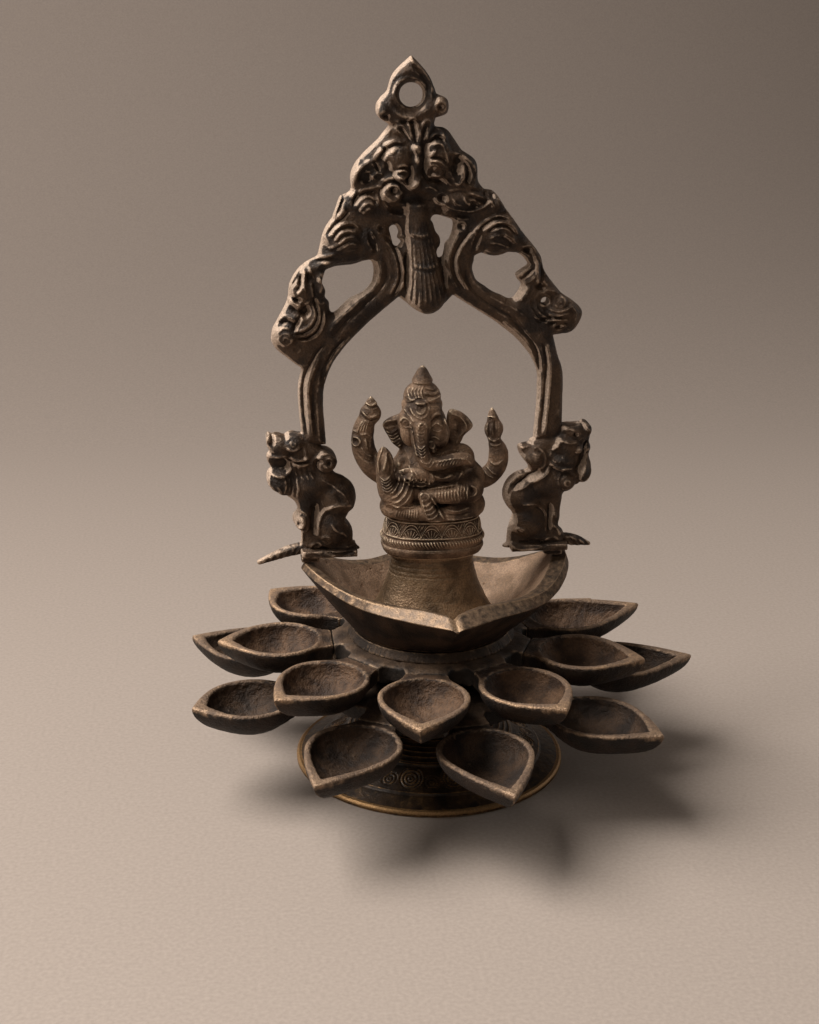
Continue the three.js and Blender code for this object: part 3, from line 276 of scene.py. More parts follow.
    (0.77, 0.9, 48.1, 4.1, 4, 1.7, 3.6, -1.5), (0.65, 0.9, 59.4, 1.9, 3.1, -1.5, 3.2, -0.6),
    (0.69, 0.8, 57.4, 5.2, 5, -1.1, 5, -2.5),
)
# Fans of even lines: how many, width, height, then the points of the first line and of the last
ARCH_FANS: Table = (
    (4, 0.69, 0.8, -10.7, 125.4, -0.5, -7.8, -0.8, -7.8, -6.5, 125.4, 0.7, -7.8, 0.4, -8.5),
    (3, 0.69, 0.8, -5, 125.4, 1.1, -7.9, 0.7, -8.4, -2.2, 125.4, 1.9, -7.9, 1.5, -8.2),
    (4, 0.52, 0.9, -59.9, 41.1, 0.6, -3.1, 1.2, -2.7, -53.6, 40.9, 0.6, -3.1, 1.3, -2.6),
    (4, 0.54, 1, -63.7, 35.9, 0.3, -3.5, -0.9, -4, -58.7, 35.8, 0.4, -3.6, -0.1, -4.9),
    (4, 0.47, 0.9, 50.6, 44.9, 1.6, 1.7, 1.3, 0.4, 52.5, 48.3, 1.5, 1.2, 0.8, -0.1),
    (5, 0.52, 1, 49.4, 42.2, 1, 2.3, 53, 39.5, 1.2, 1.8), (6, 0.43, 0.9, 55.6, 39.4, -0.5, 2.2, 0.5, 2.3,
     59.5, 39.3, -0.5, 2.2, 0.6, 2.3), (3, 0.47, 0.8, 50.9, 36.4, 1.4, -1.9, 0.5, -1.8, 53, 36.3, 1.4, -1.8,
     0.5, -1.8), (9, 0.47, 0.8, 62.4, 28.4, 1, 2.2, 1.5, 1.3, 65.4, 40.6, 1.2, 1.5, 0.8, 0.9),
    (6, 0.43, 0.8, 42.1, 44.2, 2.4, -0.7, 1.8, 0.2, 43, 38.2, 1.7, -0.5, 1.8, 0.4),
)
# Swellings of the arch: x, z, half width, half height, thickness from the middle plane, turn in degrees
ARCH_DOMES: Table = (
    (-22.9, 186.2, 3.9, 4.5, 6.2, 0), (-21.5, 184.6, 1.3, 1.5, 3.2, 0), (0.2, 188.5, 3.4, 4.1, 6.2, 0),
    (-9, 171.4, 2.6, 2.7, 8.6, 0), (-9.1, 163.6, 14.6, 18.1, 6.2, 0), (-16.4, 168.3, 7.3, 8.1, 8.6, 20),
    (-1.1, 168.3, 6.5, 9, 8, -12), (-15.5, 162.4, 3.9, 3.4, 9.4, 0), (-1, 163.2, 3.9, 3.4, 8.8, 0),
    (-9.8, 158, 4.2, 4.4, 8.2, 0), (-19.1, 154.9, 5.4, 5.4, 8.6, 0), (9.4, 151.6, 11.6, 5, 6.8, 4),
    (-31.2, 161.3, 6, 6.8, 6, 0), (10, 162.7, 6, 7.7, 6, 0), (-29.2, 149, 5.2, 4.5, 7, -20),
    (-37.7, 135.8, 10.3, 8.6, 7.6, -28), (-39.7, 147.1, 3.9, 6.8, 5.6, 14), (-29.6, 134.6, 6, 8.1, 6, 0),
    (-55.3, 115.7, 5.6, 9.9, 6.2, 10), (-55, 102.5, 8.2, 9.5, 6.8, -10), (-62, 96.8, 6.5, 5.9, 7, -30),
    (-48.3, 117.7, 3.4, 7.7, 5.4, 0), (-55.5, 91.7, 5.6, 5.4, 5.2, 20), (25.3, 138.5, 10.8, 9, 7.4, 20),
    (23.8, 149.5, 4.3, 5.4, 5.8, -30), (15.9, 136.2, 5.2, 8.1, 6, 0), (45.5, 110.3, 6.5, 7.7, 4.4, 20),
    (52.5, 104.7, 7.7, 7.2, 5.6, 20), (52.6, 109.4, 3.4, 3.6, 5.4, 0), (-65.2, 49.6, 6.5, 5.4, 6.8, -5),
    (-70.6, 52.3, 1.9, 2.7, 5.6, 0), (-60.2, 50.3, 4.7, 4.1, 7.8, 0), (-56.5, 44.5, 6.5, 6.3, 7, 0),
    (-65.5, 33.3, 6.5, 6.8, 6.8, 30), (-52.4, 32.1, 11.2, 8.1, 7.4, 14), (-42.2, 25.5, 8.6, 9, 7.8, 0),
    (-43.6, 13.4, 8.2, 10.8, 8, 8), (-46.4, 42.5, 5.6, 5.9, 7, 0), (-56.8, 15.7, 3.2, 4.3, 8.2, -5),
    (60.7, 52.6, 7.3, 4.3, 6.4, -12), (65.9, 53.9, 2.6, 3.4, 6.2, 0), (56.6, 46.5, 7.7, 6.8, 7.2, 0),
    (61.9, 45.5, 2.6, 2.5, 8, 0), (55.6, 39.8, 6.5, 5.9, 7.2, 0), (57.3, 30.8, 5.2, 5.4, 7.4, 0),
    (65, 35.1, 3.9, 8.6, 6.4, 28), (48.9, 30.1, 9.5, 8.1, 7.4, -22), (39.1, 24.1, 8.6, 8.6, 7.8, -20),
    (41.6, 13, 8.2, 9.5, 8, 0), (42.8, 41.5, 5.6, 5.4, 6.6, 0),
)
# Rolls of the arch: lift, then x, z and radius of each point
ARCH_ROLLS: Table = (
    (1.5, -10.6, 153.3, 4.7, -9.3, 146.9, 5.4, -8, 138.8, 5.8, -6.2, 129.5, 6.7, -4.9, 119.2, 8.2, -4.4,
     113, 8.6), (1, -55, 28.6, 4.7, -54.6, 23.2, 3.9, -55.5, 17.9, 3, -55.6, 12.5, 2.4, -55.6, 6.6, 2.1),
    (2.4, -50, 9.6, 2.6, -45.7, 7.2, 2.4, -38.4, 4.7, 2.1), (1.6, 53.1, 24.6, 3.4, 53.4, 18.2, 3, 53.2,
     11.8, 2.8, 54.7, 7.1, 3), (2.4, 49, 6.4, 3, 42.4, 4.3, 2.6, 36.2, 2.6, 2.1),
)
# Chased rings on the arch: x, z, radius, width, height
ARCH_RINGS: Table = (
    (-12, 193.3, 5.68, 1.12, 1.1), (-12, 193.3, 7.4, 0.77, -0.8), (-21.5, 184.6, 1.89, 0.86, 0.8),
    (0.2, 188.1, 2.24, 0.86, 0.9), (1.2, 152, 2.41, 0.82, 1.1), (7.6, 161.1, 1.63, 0.69, 0.9),
    (-23.5, 140.2, 1.98, 0.86, 1), (-62.9, 95.6, 2.41, 0.73, 1.1), (-58.4, 90.9, 1.55, 0.69, 0.9),
    (16.2, 138.8, 1.38, 0.65, 0.9), (9.6, 140.7, 1.81, 0.82, 0.9), (51.5, 109.3, 2.24, 0.77, 1.1),
    (51.5, 109.3, 0.52, 0.77, 0.8), (44.2, 110.3, 2.75, 0.86, 1.1), (-60.2, 51.2, 2.67, 0.73, 1.3),
    (-60.2, 51.2, 1.12, 0.77, 0.9), (60.5, 52.2, 1.55, 0.65, 1), (62.1, 45.9, 2.06, 0.77, 1.2),
    (57.5, 30.8, 1.38, 0.65, 1.1), (57.5, 30.8, 2.92, 0.69, 1),
)
# Hollows between the arch's masses: x, z, half width, half height, depth, turn in degrees
ARCH_HOLLOWS: Table = (
    (-29.6, 160.5, 2.1, 2, 3, 0), (-25.2, 164.8, 0.9, 2.3, 2, 30), (7.5, 165.5, 1.9, 3.6, 3.4, -10),
    (11.6, 160.7, 1.3, 2.7, 2.6, 0), (-9.5, 152.5, 6.5, 2.4, 2.6, 0), (-16.6, 147.6, 3.9, 1.8, 2.4, -8),
    (0.5, 147.2, 2.6, 2, 3, 0), (8.7, 145.6, 3.9, 1.4, 2, -8), (-19.1, 155.7, 0.9, 1, 1.8, 0),
    (14.3, 149.9, 1.7, 1.4, 1.6, 0), (-33.6, 152.6, 0.9, 3.2, 1.8, -20), (21.6, 153.1, 0.9, 3.2, 1.8, 20),
    (-12.8, 126.3, 1.3, 3.6, 3.6, 0), (-12.7, 119.3, 1.3, 4.1, 3.6, 0), (1.2, 127.8, 1.3, 3.6, 3.6, 0),
    (2.6, 119.9, 1.3, 5, 3.6, 6), (-26.7, 134.5, 1.3, 4.1, 2.2, 20), (15.9, 135, 1.3, 4.1, 2.2, -20),
    (-54.6, 107.1, 2.1, 2.9, 3.8, 0), (-57.9, 102.1, 1, 3.6, 2.6, -25), (-52.4, 120.6, 1.3, 2, 2.4, 0),
    (-57.4, 111.6, 1.7, 1.4, 2.4, 0), (-50.4, 109.9, 0.9, 2.7, 1.8, 10), (37.6, 130.7, 1.9, 1.4, 2.6, -20),
    (43.2, 115.7, 2.1, 1.4, 2.2, 0), (45.4, 101.8, 3.4, 1, 1.8, 10), (-21.6, 171.5, 0.9, 2.7, 1.4, 40),
    (-22.9, 183.1, 1.3, 2.7, 1.4, 0), (-0.9, 183.9, 1.3, 2.7, 1.4, 0), (-12.1, 182.3, 3.9, 0.9, 1.6, 0),
)
# Chased lines, fans and rings on the figure, x and z above the seat
FIGURE_STROKES: Table = (
    (0.77, 0.7, -13, 51.5, 3.8, -0.7, 4.2, -0.1, 4.6, 0.6, 3, 0.8),
    (0.77, 0.5, -12.2, 56.7, 4.2, 0.3, 5, -0.1, 3.4, -0.5), (0.86, 0.6, -13.4, 49.4, 2.9, 0.8, 5.5, 0.1,
     5.5, -0.3, 3.4, -1.4), (0.69, -0.5, -4.6, 54.8, 3.3, -0.9, 2.6, 0.8),
    (0.6, -0.5, -4.6, 52.7, 3.8, -0.6, 2.9, 0.4), (0.69, 0.6, -11, 50.8, -0.8, -2.5, 1.3, -2.6),
    (0.69, 0.7, -16.4, 44.9, 1.7, 2.1, 2.1, -1.3, 2.1, -2.6),
    (0.56, -0.6, -15.9, 43.6, 1.6, 2.1, 2.1, -1.3), (0.6, 0.6, -15.9, 41.9, 1.2, 2.1, 2.1, -0.5, 1.3, -2.1),
    (0.56, 0.5, -15.1, 40.6, 1.7, -0.7, 2.1, 0.6), (0.65, 0.6, -8.8, 40.4, 0.8, 2.2, 2.2, -0.1, 0.8, -1.7),
    (0.77, 0.7, -3.3, 43.3, 2.9, 2.1, 2.9, -1.3, 1.4, -3.1), (0.56, -0.5, -2.5, 42.5, 2.5, 1.4, 2.6, -1.1),
    (0.6, 0.6, -2.9, 40.3, 2.5, 1.5, 2.6, -1.6), (0.56, 0.5, -2.4, 39, 2.5, -0.7, 2.1, 0.8),
    (0.77, -0.7, -10.9, 42.6, 0.9, -5.2, 0.9, -5.2, 1.3, -5.3),
    (0.77, -0.7, -4.2, 41.6, 0.1, -5.2, -0.3, -5.2, 0.4, -3.5),
    (0.52, -0.35, -11.7, 40.1, 0.5, -5.2, 0.9, -4), (0.86, 0.5, 3.4, 42.8, 0.9, -5.3, -0.7, -5.2),
    (0.69, -0.7, 4.6, 44.9, 1, -6.1, -0.7, -6.1), (0.69, 0.5, -4.1, 34.7, 2.6, 1.2, 2.5, -1.3),
    (1.03, -0.9, -0.6, 30.7, 1.3, -2.2, 0.8, 2.1), (0.77, 0.4, -15, 32.8, 1.7, -1.8, 2.1, -0.9),
    (0.47, 0.55, -8.2, 27.5, 1.7, -1.3, 2.1, -0.1, 1.2, 1.5), (0.43, 0.45, -6.1, 24.9, 2.1, -0.5, 1.7, 2.1),
    (0.56, 0.5, -2.3, 26.5, 4.6, 0.8, 5.1, 0.5, 4.3, -1, 2.6, -2.9),
    (0.77, -0.7, -3.5, 23.1, 6.3, -0.9, 6.4, 0.7, 4.2, 0.1), (0.77, 0.5, -22.7, 37.3, 2.1, 2.8, 5.1, 0.8),
    (0.65, 0.4, -22.3, 36.4, 2.6, -4.4, 3, -4.5), (0.77, -0.5, -20.6, 38.1, 3, 0.8, 2.6, 0),
    (1.55, -0.8, 8, 40.1, 2.7, -1.8, -0.4, -4.4), (0.73, 0.5, 7.6, 42.8, 3.4, -1.4, 2.7, -3.6, -0.4, -2.2),
    (0.65, 0.4, 13.3, 35.6, -2.5, -3, -1.3, -3.1), (0.69, 0.8, -30.9, 44.8, 3, -2.1, 3.8, 1),
    (0.6, -0.6, -30.9, 43.4, 3, -2.2, 4.2, 0.8), (0.6, 0.7, -29.6, 48.6, 2.5, -1.1, 2.6, 1),
    (0.47, -0.4, -29.2, 47.5, 2.1, -1.1, 2.6, 0.8), (1.03, -1.2, -33.8, 32.6, 0.1, -0.9),
    (0.69, 0.6, -35.9, 35.3, 1.2, 1.3, 2.1, -0.5), (0.65, 0.6, -31.7, 35.2, 2.5, 0.4, 2.6, -1.9),
    (0.6, 0.4, -31.3, 29.9, 1.7, -2.7, 3, -1.8), (0.69, 0.5, -29.6, 33.4, 0.9, -4.5),
    (0.65, 0.45, -27, 34.2, -0.5, -4.8), (0.6, -0.5, -32.6, 27.3, 2.6, -2.7, 3, -1.4),
    (0.6, 0.7, 21.7, 40.1, 2.1, 1.2, 2.1, -0.4), (0.65, -0.5, 23.9, 38.3, -0.4, -3.1, 0.5, -2.7),
    (0.65, -0.5, 26, 39.5, -0.1, -3.9, 0.3, -3.1), (0.6, 0.4, 27.7, 39.5, 0.3, -4, -0.5, -3.1),
    (0.69, 0.7, 23.2, 31.6, 2.6, -0.9, 2.6, 1.3), (0.56, 0.5, 22.8, 29.9, 3, -1.4, 3.5, 1.2),
    (0.6, 0.5, 23.9, 21.8, 2.6, -1.4, 3.4, 2.2), (0.77, 0.35, 25, 27.6, 0.5, -3.6),
    (0.56, 0.5, 22.6, 19.6, 2.7, -2.7, 2.6, -1), (0.52, 0.4, 20.9, 18.8, 2.2, -2.8, 2.7, -1.4),
    (0.69, 0.5, -24.5, 20.1, -0.7, 4.4, 1.1, 3.9, 1.2, 2.6), (0.95, 0.8, -22.8, 21.8, 0.8, 3.5, 0.8, 3),
    (0.77, -0.7, -19.9, 19.9, 0.4, 4.4, -1.3, 4), (0.56, -0.4, -23.7, 21.8, 0, 3.5),
    (2.36, -1.8, -16.5, 28.2, 2.5, -3.1, 0.5, -3.6, -1.7, -1.7),
    (0.69, 0.4, -15.5, 19, 2.9, 2.8, 2.5, -0.3, 1.8, -3.2), (0.56, -0.5, -10.9, 22.4, 1.7, -2.7, 1.3, -2.3),
    (0.6, 0.4, -15.1, 18.5, 4.3, -3.4, 5, -0.4, 3.4, 3), (0.65, 0.5, -2.9, 21.3, 0.5, -2.7, -1.7, -2.6),
    (0.69, 0.5, -2, 19.9, 3.8, -1.2, 4.3, 1), (0.82, -0.9, -10.8, 13.8, 6.8, -0.4, 6.8, 0.7, 4.6, 0.7),
    (0.65, 0.4, 8.1, 16, 2.1, 3.5, 2.9, 2.1, 3, -1.4), (0.86, -1, 13.7, 14.5, 1.3, -2.7),
    (0.6, 0.5, 10.7, 15, 1.4, -3.1, 0, -3.1), (0.56, 0.45, 7.8, 13.3, 1.3, -2.7, -0.4, -2.6),
    (0.69, 0.8, -6.8, 9.2, 0.9, -4, 1.8, -4.5), (0.69, 0.8, -3, 10.9, 2.6, -4.5, 2.7, -5),
    (0.56, -0.7, -1.7, 10.8, 2.6, -4.5, 2.7, -5), (0.65, 0.6, -18.8, 6.5, 4.2, -0.6, 5.6, 0.1),
    (0.69, -0.7, -19.2, 0, 5.5, -1.5, 5.6, -0.2), (0.73, 0.5, 3.8, 5.1, 4.7, -0.8, 5.6, 1),
    (0.69, -0.6, 3.4, 3.1, 5.1, -0.6, 5.6, 0.8), (0.69, 0.7, 4.3, 0.7, 5.6, 0, 5.1, 0.1),
    (0.6, -0.6, 4.3, -1.1, 5.6, 0, 5.6, 0.5),
)
FIGURE_FANS: Table = (
    (5, 0.52, 0.6, -11.5, 51.9, -0.5, 2, 1.3, 1.9, -6.2, 52.2, -0.4, 2.1, 1.2, 2.1),
    (6, 0.43, 0.32, -9.5, 42.6, 2, -1.3, 1.9, 1.2, -9.1, 35.9, 1.6, -1.3, 1.6, 1.2),
    (4, 0.49, 0.75, -9.6, 33.6, 2, -1.1, 1.6, 1.2, -9, 29.7, 1.8, -1.1, 1.6, 1.2),
    (10, 0.41, 0.42, -1, 24.3, 0.6, 1.5, 1, 1.2, 11.2, 25.4, 0.6, 1.5, 1, 0.9),
    (6, 0.49, 0.6, -20.3, 35.7, 1.9, -0.5, 2.7, 1.5, -16.9, 28.4, 1.1, 0.2, 1.5, 1.2),
    (3, 0.47, 0.4, 8.1, 36.6, 2.2, -0.9, 8.9, 33.5, 1.6, -0.5),
    (4, 0.47, 0.55, -33, 36.1, 1.1, 3, 1.5, 2.2, -29.4, 37, 0.9, 3.1, 1.1, 1.5),
    (5, 0.49, 0.75, -24.3, 18.7, 2.3, -1.1, 2.1, 1.7, -23.3, 13.6, 2.2, -0.8, 2.6, 1.5), (4, 0.65, 0.7,
     -16.1, 18.5, -0.1, -2, -0.8, -1.9, -1.3, -1.6, -1.7, -1, -9.7, 18.8, -0.3, -4.1, -1.5, -3.8, -2.6,
     -3.1, -3.4, -2), (6, 0.49, 0.65, -13.8, 16.5, 1.9, 0.2, 1.4, 2.4, -4.1, 16.7, 1.5, -0.5, 1, 2.4),
    (11, 0.45, 0.5, -0.7, 8.7, -0.5, 2.7, 0.4, 2.6, 12.5, 9.7, -0.3, 3.1, 0.6, 3.1),
    (4, 0.52, 0.8, -6.1, 7.2, 1.5, 0.2, 1.6, 1.5, -4, 1.5, 1.5, 0.3, 2.3, 1.5),
    (9, 0.43, 0.5, -17.5, 1.3, 0.2, 1.8, 0.5, 1.8, -9, 1.4, 0.2, 1.8, 0.2, 1.8),
)
FIGURE_RINGS: Table = (
    (-7.4, 48.4, 1.98, 1.03, 0.7), (-7.4, 48.4, 3.7, 0.69, 0.8), (-13.6, 41.8, 0.95, 0.52, 0.5),
    (0.1, 40.2, 0.99, 0.52, 0.5), (-2.5, 32.5, 1.38, 0.69, 0.6), (-33.8, 32.2, 1.81, 0.77, 0.9),
    (-28.7, 35.5, 1.03, 0.52, 0.5), (14.4, 12.7, 2.15, 0.69, 0.7), (-5.8, 11.1, 1.81, 0.69, 0.6),
    (-19.7, 5, 1.98, 0.56, 0.5), (-19.7, 5, 0.86, 0.52, 0.4),
)


# Numbers and curves


def smooth_min(a: np.ndarray, b: np.ndarray, blend: float) -> np.ndarray:
    """Returns the lesser of two fields with a fillet of the size blend between them."""
    near = np.maximum(blend - np.abs(a - b), 0) / blend
    return np.minimum(a, b) - near * near * blend / 4


def smooth_max(a: np.ndarray, b: np.ndarray, blend: float) -> np.ndarray:
    """Returns the greater of two fields with a fillet of the size blend between them."""
    return -smooth_min(-a, -b, blend)


def step_up(value: np.ndarray, low: float, high: float) -> np.ndarray:
    """Returns 0 below low, 1 above high and a smooth rise between."""
    share = np.clip((value - low) / (high - low), 0, 1)
    return share * share * (3 - 2 * share)


def bell(value: np.ndarray, middle: Any, width: float) -> np.ndarray:
    """Returns 1 at the middle, falling to nothing about two widths away."""
    return np.exp(-(((value - middle) / width) ** 2))


def circle(count: int) -> np.ndarray:
    """Returns that many even directions round the rod, in radians from +X."""
    return np.linspace(0, 2 * math.pi, count, endpoint=False)


def spun(across: Any, angle: np.ndarray, height: Any, deep: Any = None) -> np.ndarray:
    """Returns points at a reach in each direction, with another reach front to back where it is given."""
    deep = across if deep is None else deep
    return np.stack(np.broadcast_arrays(across * np.cos(angle), deep * np.sin(angle), height), -1)


def round_edge(share: np.ndarray) -> np.ndarray:
    """Returns the height of a quarter circle at a share of its width."""
    return np.sqrt(1 - (1 - share) ** 2)


def pairs(flat: Sequence[float], size: int = 2) -> np.ndarray:
    """Returns a flat row of numbers as points of that many coordinates."""
    return np.asarray(flat, float).reshape(-1, size)


def walk(flat: Sequence[float]) -> np.ndarray:
    """Returns the points of a row that gives the first one and then the step to each next."""
    return np.round(pairs(flat).cumsum(0), 3)


def curve(points: Any, per: int = 6, closed: bool = False) -> np.ndarray:
    """Draws one smooth curve through points.

    Args:
        points: Rows of coordinates, and a radius where there is one.
        per: Steps between two points.
        closed: Whether the last point leads back to the first.

    Returns:
        The curve's points, one row each.
    """
    knots = np.asarray(points, float)
    if len(knots) < 3:
        share = np.linspace(0, 1, per * (len(knots) - 1) + 1)[:, None]
        return knots[0] * (1 - share) + knots[-1] * share
    if closed:
        held = np.vstack([knots[-1], knots, knots[0], knots[1]])
    else:
        held = np.vstack([2 * knots[0] - knots[1], knots, 2 * knots[-1] - knots[-2]])
    t = (np.arange(per) / per)[:, None]
    parts = []
    for i in range(len(held) - 3):
        a, b, c, d = held[i : i + 4]
        cubic = (2 * a - 5 * b + 4 * c - d) * t**2 + (3 * b - a - 3 * c + d) * t**3
        parts.append(0.5 * (2 * b + (c - a) * t + cubic))
    return np.vstack(parts if closed else [*parts, held[-2:-1]])


def from_line(x: np.ndarray, z: np.ndarray, a: np.ndarray, b: np.ndarray) -> tuple[np.ndarray, np.ndarray]:
    """Returns how far along a to b each place lies, from 0 to 1, and its squared distance.

    Args:
        x: Places across.
        z: Places up.
        a: Start of the line.
        b: Its end.

    Returns:
        The shares and the squared distances.
    """
    e = b[:2] - a[:2]
    t = np.clip(((x - a[0]) * e[0] + (z - a[1]) * e[1]) / max(e @ e, 1e-9), 0, 1)
    return t, (x - a[0] - t * e[0]) ** 2 + (z - a[1] - t * e[1]) ** 2


def fanned(fans: Table) -> list[tuple[float, float, np.ndarray]]:
    """Returns the separate lines of each fan: width, height and points.

    Args:
        fans: Rows of count, width, height and the first and last line.

    Returns:
        One entry for each line.
    """
    rows = []
    for count, width, height, *flat in fans:
        first, last = (walk(half) for half in np.split(np.array(flat), 2))
        rows += [(width, height, first + (last - first) * t) for t in np.linspace(0, 1, int(count))]
    return rows


class Grit:
    """Smooth random values in space, the same on every run."""

    CELLS = 32

    def __init__(self, seed: int) -> None:
        """Fills the lattice from the seed."""
        random = np.random.default_rng(seed)
        self.lattice = random.uniform(-1, 1, (self.CELLS, self.CELLS, self.CELLS)).astype(np.float32)

    def at(self, points: np.ndarray, size: float) -> np.ndarray:
        """Returns a value from -1 to 1 at each row of x, y and z, on a lattice of that size in mm.

        Args:
            points: Rows of x, y and z in mm.
            size: The lattice's spacing in mm.

        Returns:
            One value for each row.
        """
        scaled = np.asarray(points, np.float32) / size
        base = np.floor(scaled).astype(int)
        share = scaled - base
        share = share * share * (3 - 2 * share)
        total = np.zeros(len(scaled), np.float32)
        for corner in range(8):
            bits = np.array([corner & 1, corner >> 1 & 1, corner >> 2 & 1])
            spot = (base + bits) & (self.CELLS - 1)
            weight = np.prod(np.where(bits, share, 1 - share), axis=1)
            total += weight * self.lattice[spot[:, 0], spot[:, 1], spot[:, 2]]
        return total

    def rough(self, points: np.ndarray, *layers: tuple[float, float]) -> np.ndarray:
        """Adds up layers of values over an array of points, each with its size and height in mm."""
        flat = points.reshape(-1, 3)
        return sum(self.at(flat, size) * high for size, high in layers).reshape(points.shape[:-1])


GRIT = Grit(7)


# Surfaces made of quads


@dataclass
class Skin:
    """A surface of quads, with a value from 0 to 1 at each vertex for each kind of finish."""

    points: np.ndarray
    quads: np.ndarray
    marks: dict[str, np.ndarray] = field(default_factory=dict)

    def mark(self, name: str, values: np.ndarray) -> None:
        """Keeps one value for each vertex under a name."""
        self.marks[name] = np.clip(np.broadcast_to(values, len(self.points)), 0, 1)

    def turned(self, angle: float, offset: Sequence[float]) -> "Skin":
        """Returns the surface moved by offset, then turned about the rod by angle in radians.

        Args:
            angle: Turn in radians.
            offset: Shift in mm before the turn.

        Returns:
            A new surface.
        """
        moved = self.points + np.asarray(offset, float)
        c, s = math.cos(angle), math.sin(angle)
        x = c * moved[:, 0] - s * moved[:, 1]
        y = s * moved[:, 0] + c * moved[:, 1]
        return Skin(np.stack([x, y, moved[:, 2]], 1), self.quads, dict(self.marks))

    def normals(self) -> np.ndarray:
        """Returns the unit normal at each vertex.

        Returns:
            One row for each vertex.
        """
        corner = self.points[self.quads]
        across = np.cross(corner[:, 2] - corner[:, 0], corner[:, 3] - corner[:, 1])
        total = np.zeros_like(self.points)
        for axis in range(3):
            shares = np.repeat(across[:, axis], 4)
            total[:, axis] = np.bincount(self.quads.ravel(), shares, len(self.points))
        return total / np.maximum(np.linalg.norm(total, axis=1, keepdims=True), 1e-9)

    def raise_by(self, depth: np.ndarray) -> None:
        """Moves each vertex along its normal by its own depth in mm."""
        self.points += self.normals() * depth.reshape(-1, 1)

    def height_over_blur(self, passes: Sequence[int]) -> list[np.ndarray]:
        """Measures how far each vertex stands out from the smoothed surface.

        Args:
            passes: Rising numbers of smoothing passes.

        Returns:
            For each number of passes, the heights in mm, above 0 on edges and below 0 in hollows.
        """
        a = self.quads.ravel()
        b = np.roll(self.quads, -1, axis=1).ravel()
        count = np.bincount(a, minlength=len(self.points)) + np.bincount(b, minlength=len(self.points))
        normals, blurred, heights = self.normals(), self.points.copy(), []
        for number in range(1, max(passes) + 1):
            total = np.empty_like(blurred)
            for axis in range(3):
                total[:, axis] = np.bincount(a, blurred[b, axis], len(blurred))
                total[:, axis] += np.bincount(b, blurred[a, axis], len(blurred))
            blurred = 0.4 * blurred + 0.6 * total / np.maximum(count, 1)[:, None]
            if number in passes:
                heights.append(np.sum((self.points - blurred) * normals, axis=1))
        return heights


def grid_skin(points: np.ndarray, around: bool = True, along: bool = False) -> Skin:
    """Makes a surface from rows of points.

    Args:
        points: Array of rows, columns and coordinates. Normals face out where columns run
            anticlockwise seen from the side that the rows rise to.
        around: Whether the last column joins the first.
        along: Whether the last row joins the first.

    Returns:
        The surface.
    """
    rows, columns = points.shape[:2]
    index = np.arange(rows * columns).reshape(rows, columns)
    if around:
        index = np.hstack([index, index[:, :1]])
    if along:
        index = np.vstack([index, index[:1]])
    quads = np.stack([index[:-1, :-1], index[:-1, 1:], index[1:, 1:], index[1:, :-1]], -1)
    return Skin(points.reshape(-1, 3).astype(float), quads.reshape(-1, 4))


def net(distances: np.ndarray, low: Sequence[float], step: Sequence[float]) -> Skin:
    """Draws the surface where a grid of distances changes sign.

    Args:
        distances: Values on the grid, below 0 inside and above 0 on its border.
        low: Lowest corner of the grid in mm.
        step: Spacing of the grid along x, y and z.

    Returns:
        The surface, with one vertex in each cell that it crosses.
    """
    inside = distances < 0
    size = np.array(distances.shape) - 1
    strides = np.array([size[1] * size[2], size[2], 1])
    cells, places = [], []
    for axis in range(3):
        near = tuple(slice(0, -1) if i == axis else slice(None) for i in range(3))
        far = tuple(slice(1, None) if i == axis else slice(None) for i in range(3))
        at = np.argwhere(inside[near] != inside[far])
        first, second = distances[near][tuple(at.T)], distances[far][tuple(at.T)]
        place = at.astype(float)
        place[:, axis] += first / (first - second)
        u, v = strides[(axis + 1) % 3], strides[(axis + 2) % 3]
        own = at @ strides
        ring = np.stack([own - u - v, own - v, own, own - u], 1)
        ring[first > 0] = ring[first > 0][:, ::-1]
        cells.append(ring)
        places.append(place)
    _, index = np.unique(np.vstack(cells).ravel(), return_inverse=True)
    index = index.ravel()
    spots = np.repeat(np.vstack(places), 4, axis=0)
    mean = np.stack([np.bincount(index, spots[:, i]) / np.bincount(index) for i in range(3)], 1)
    return Skin(np.asarray(low) + mean * np.asarray(step), index.reshape(-1, 4))


# Carved plates and modelled masses


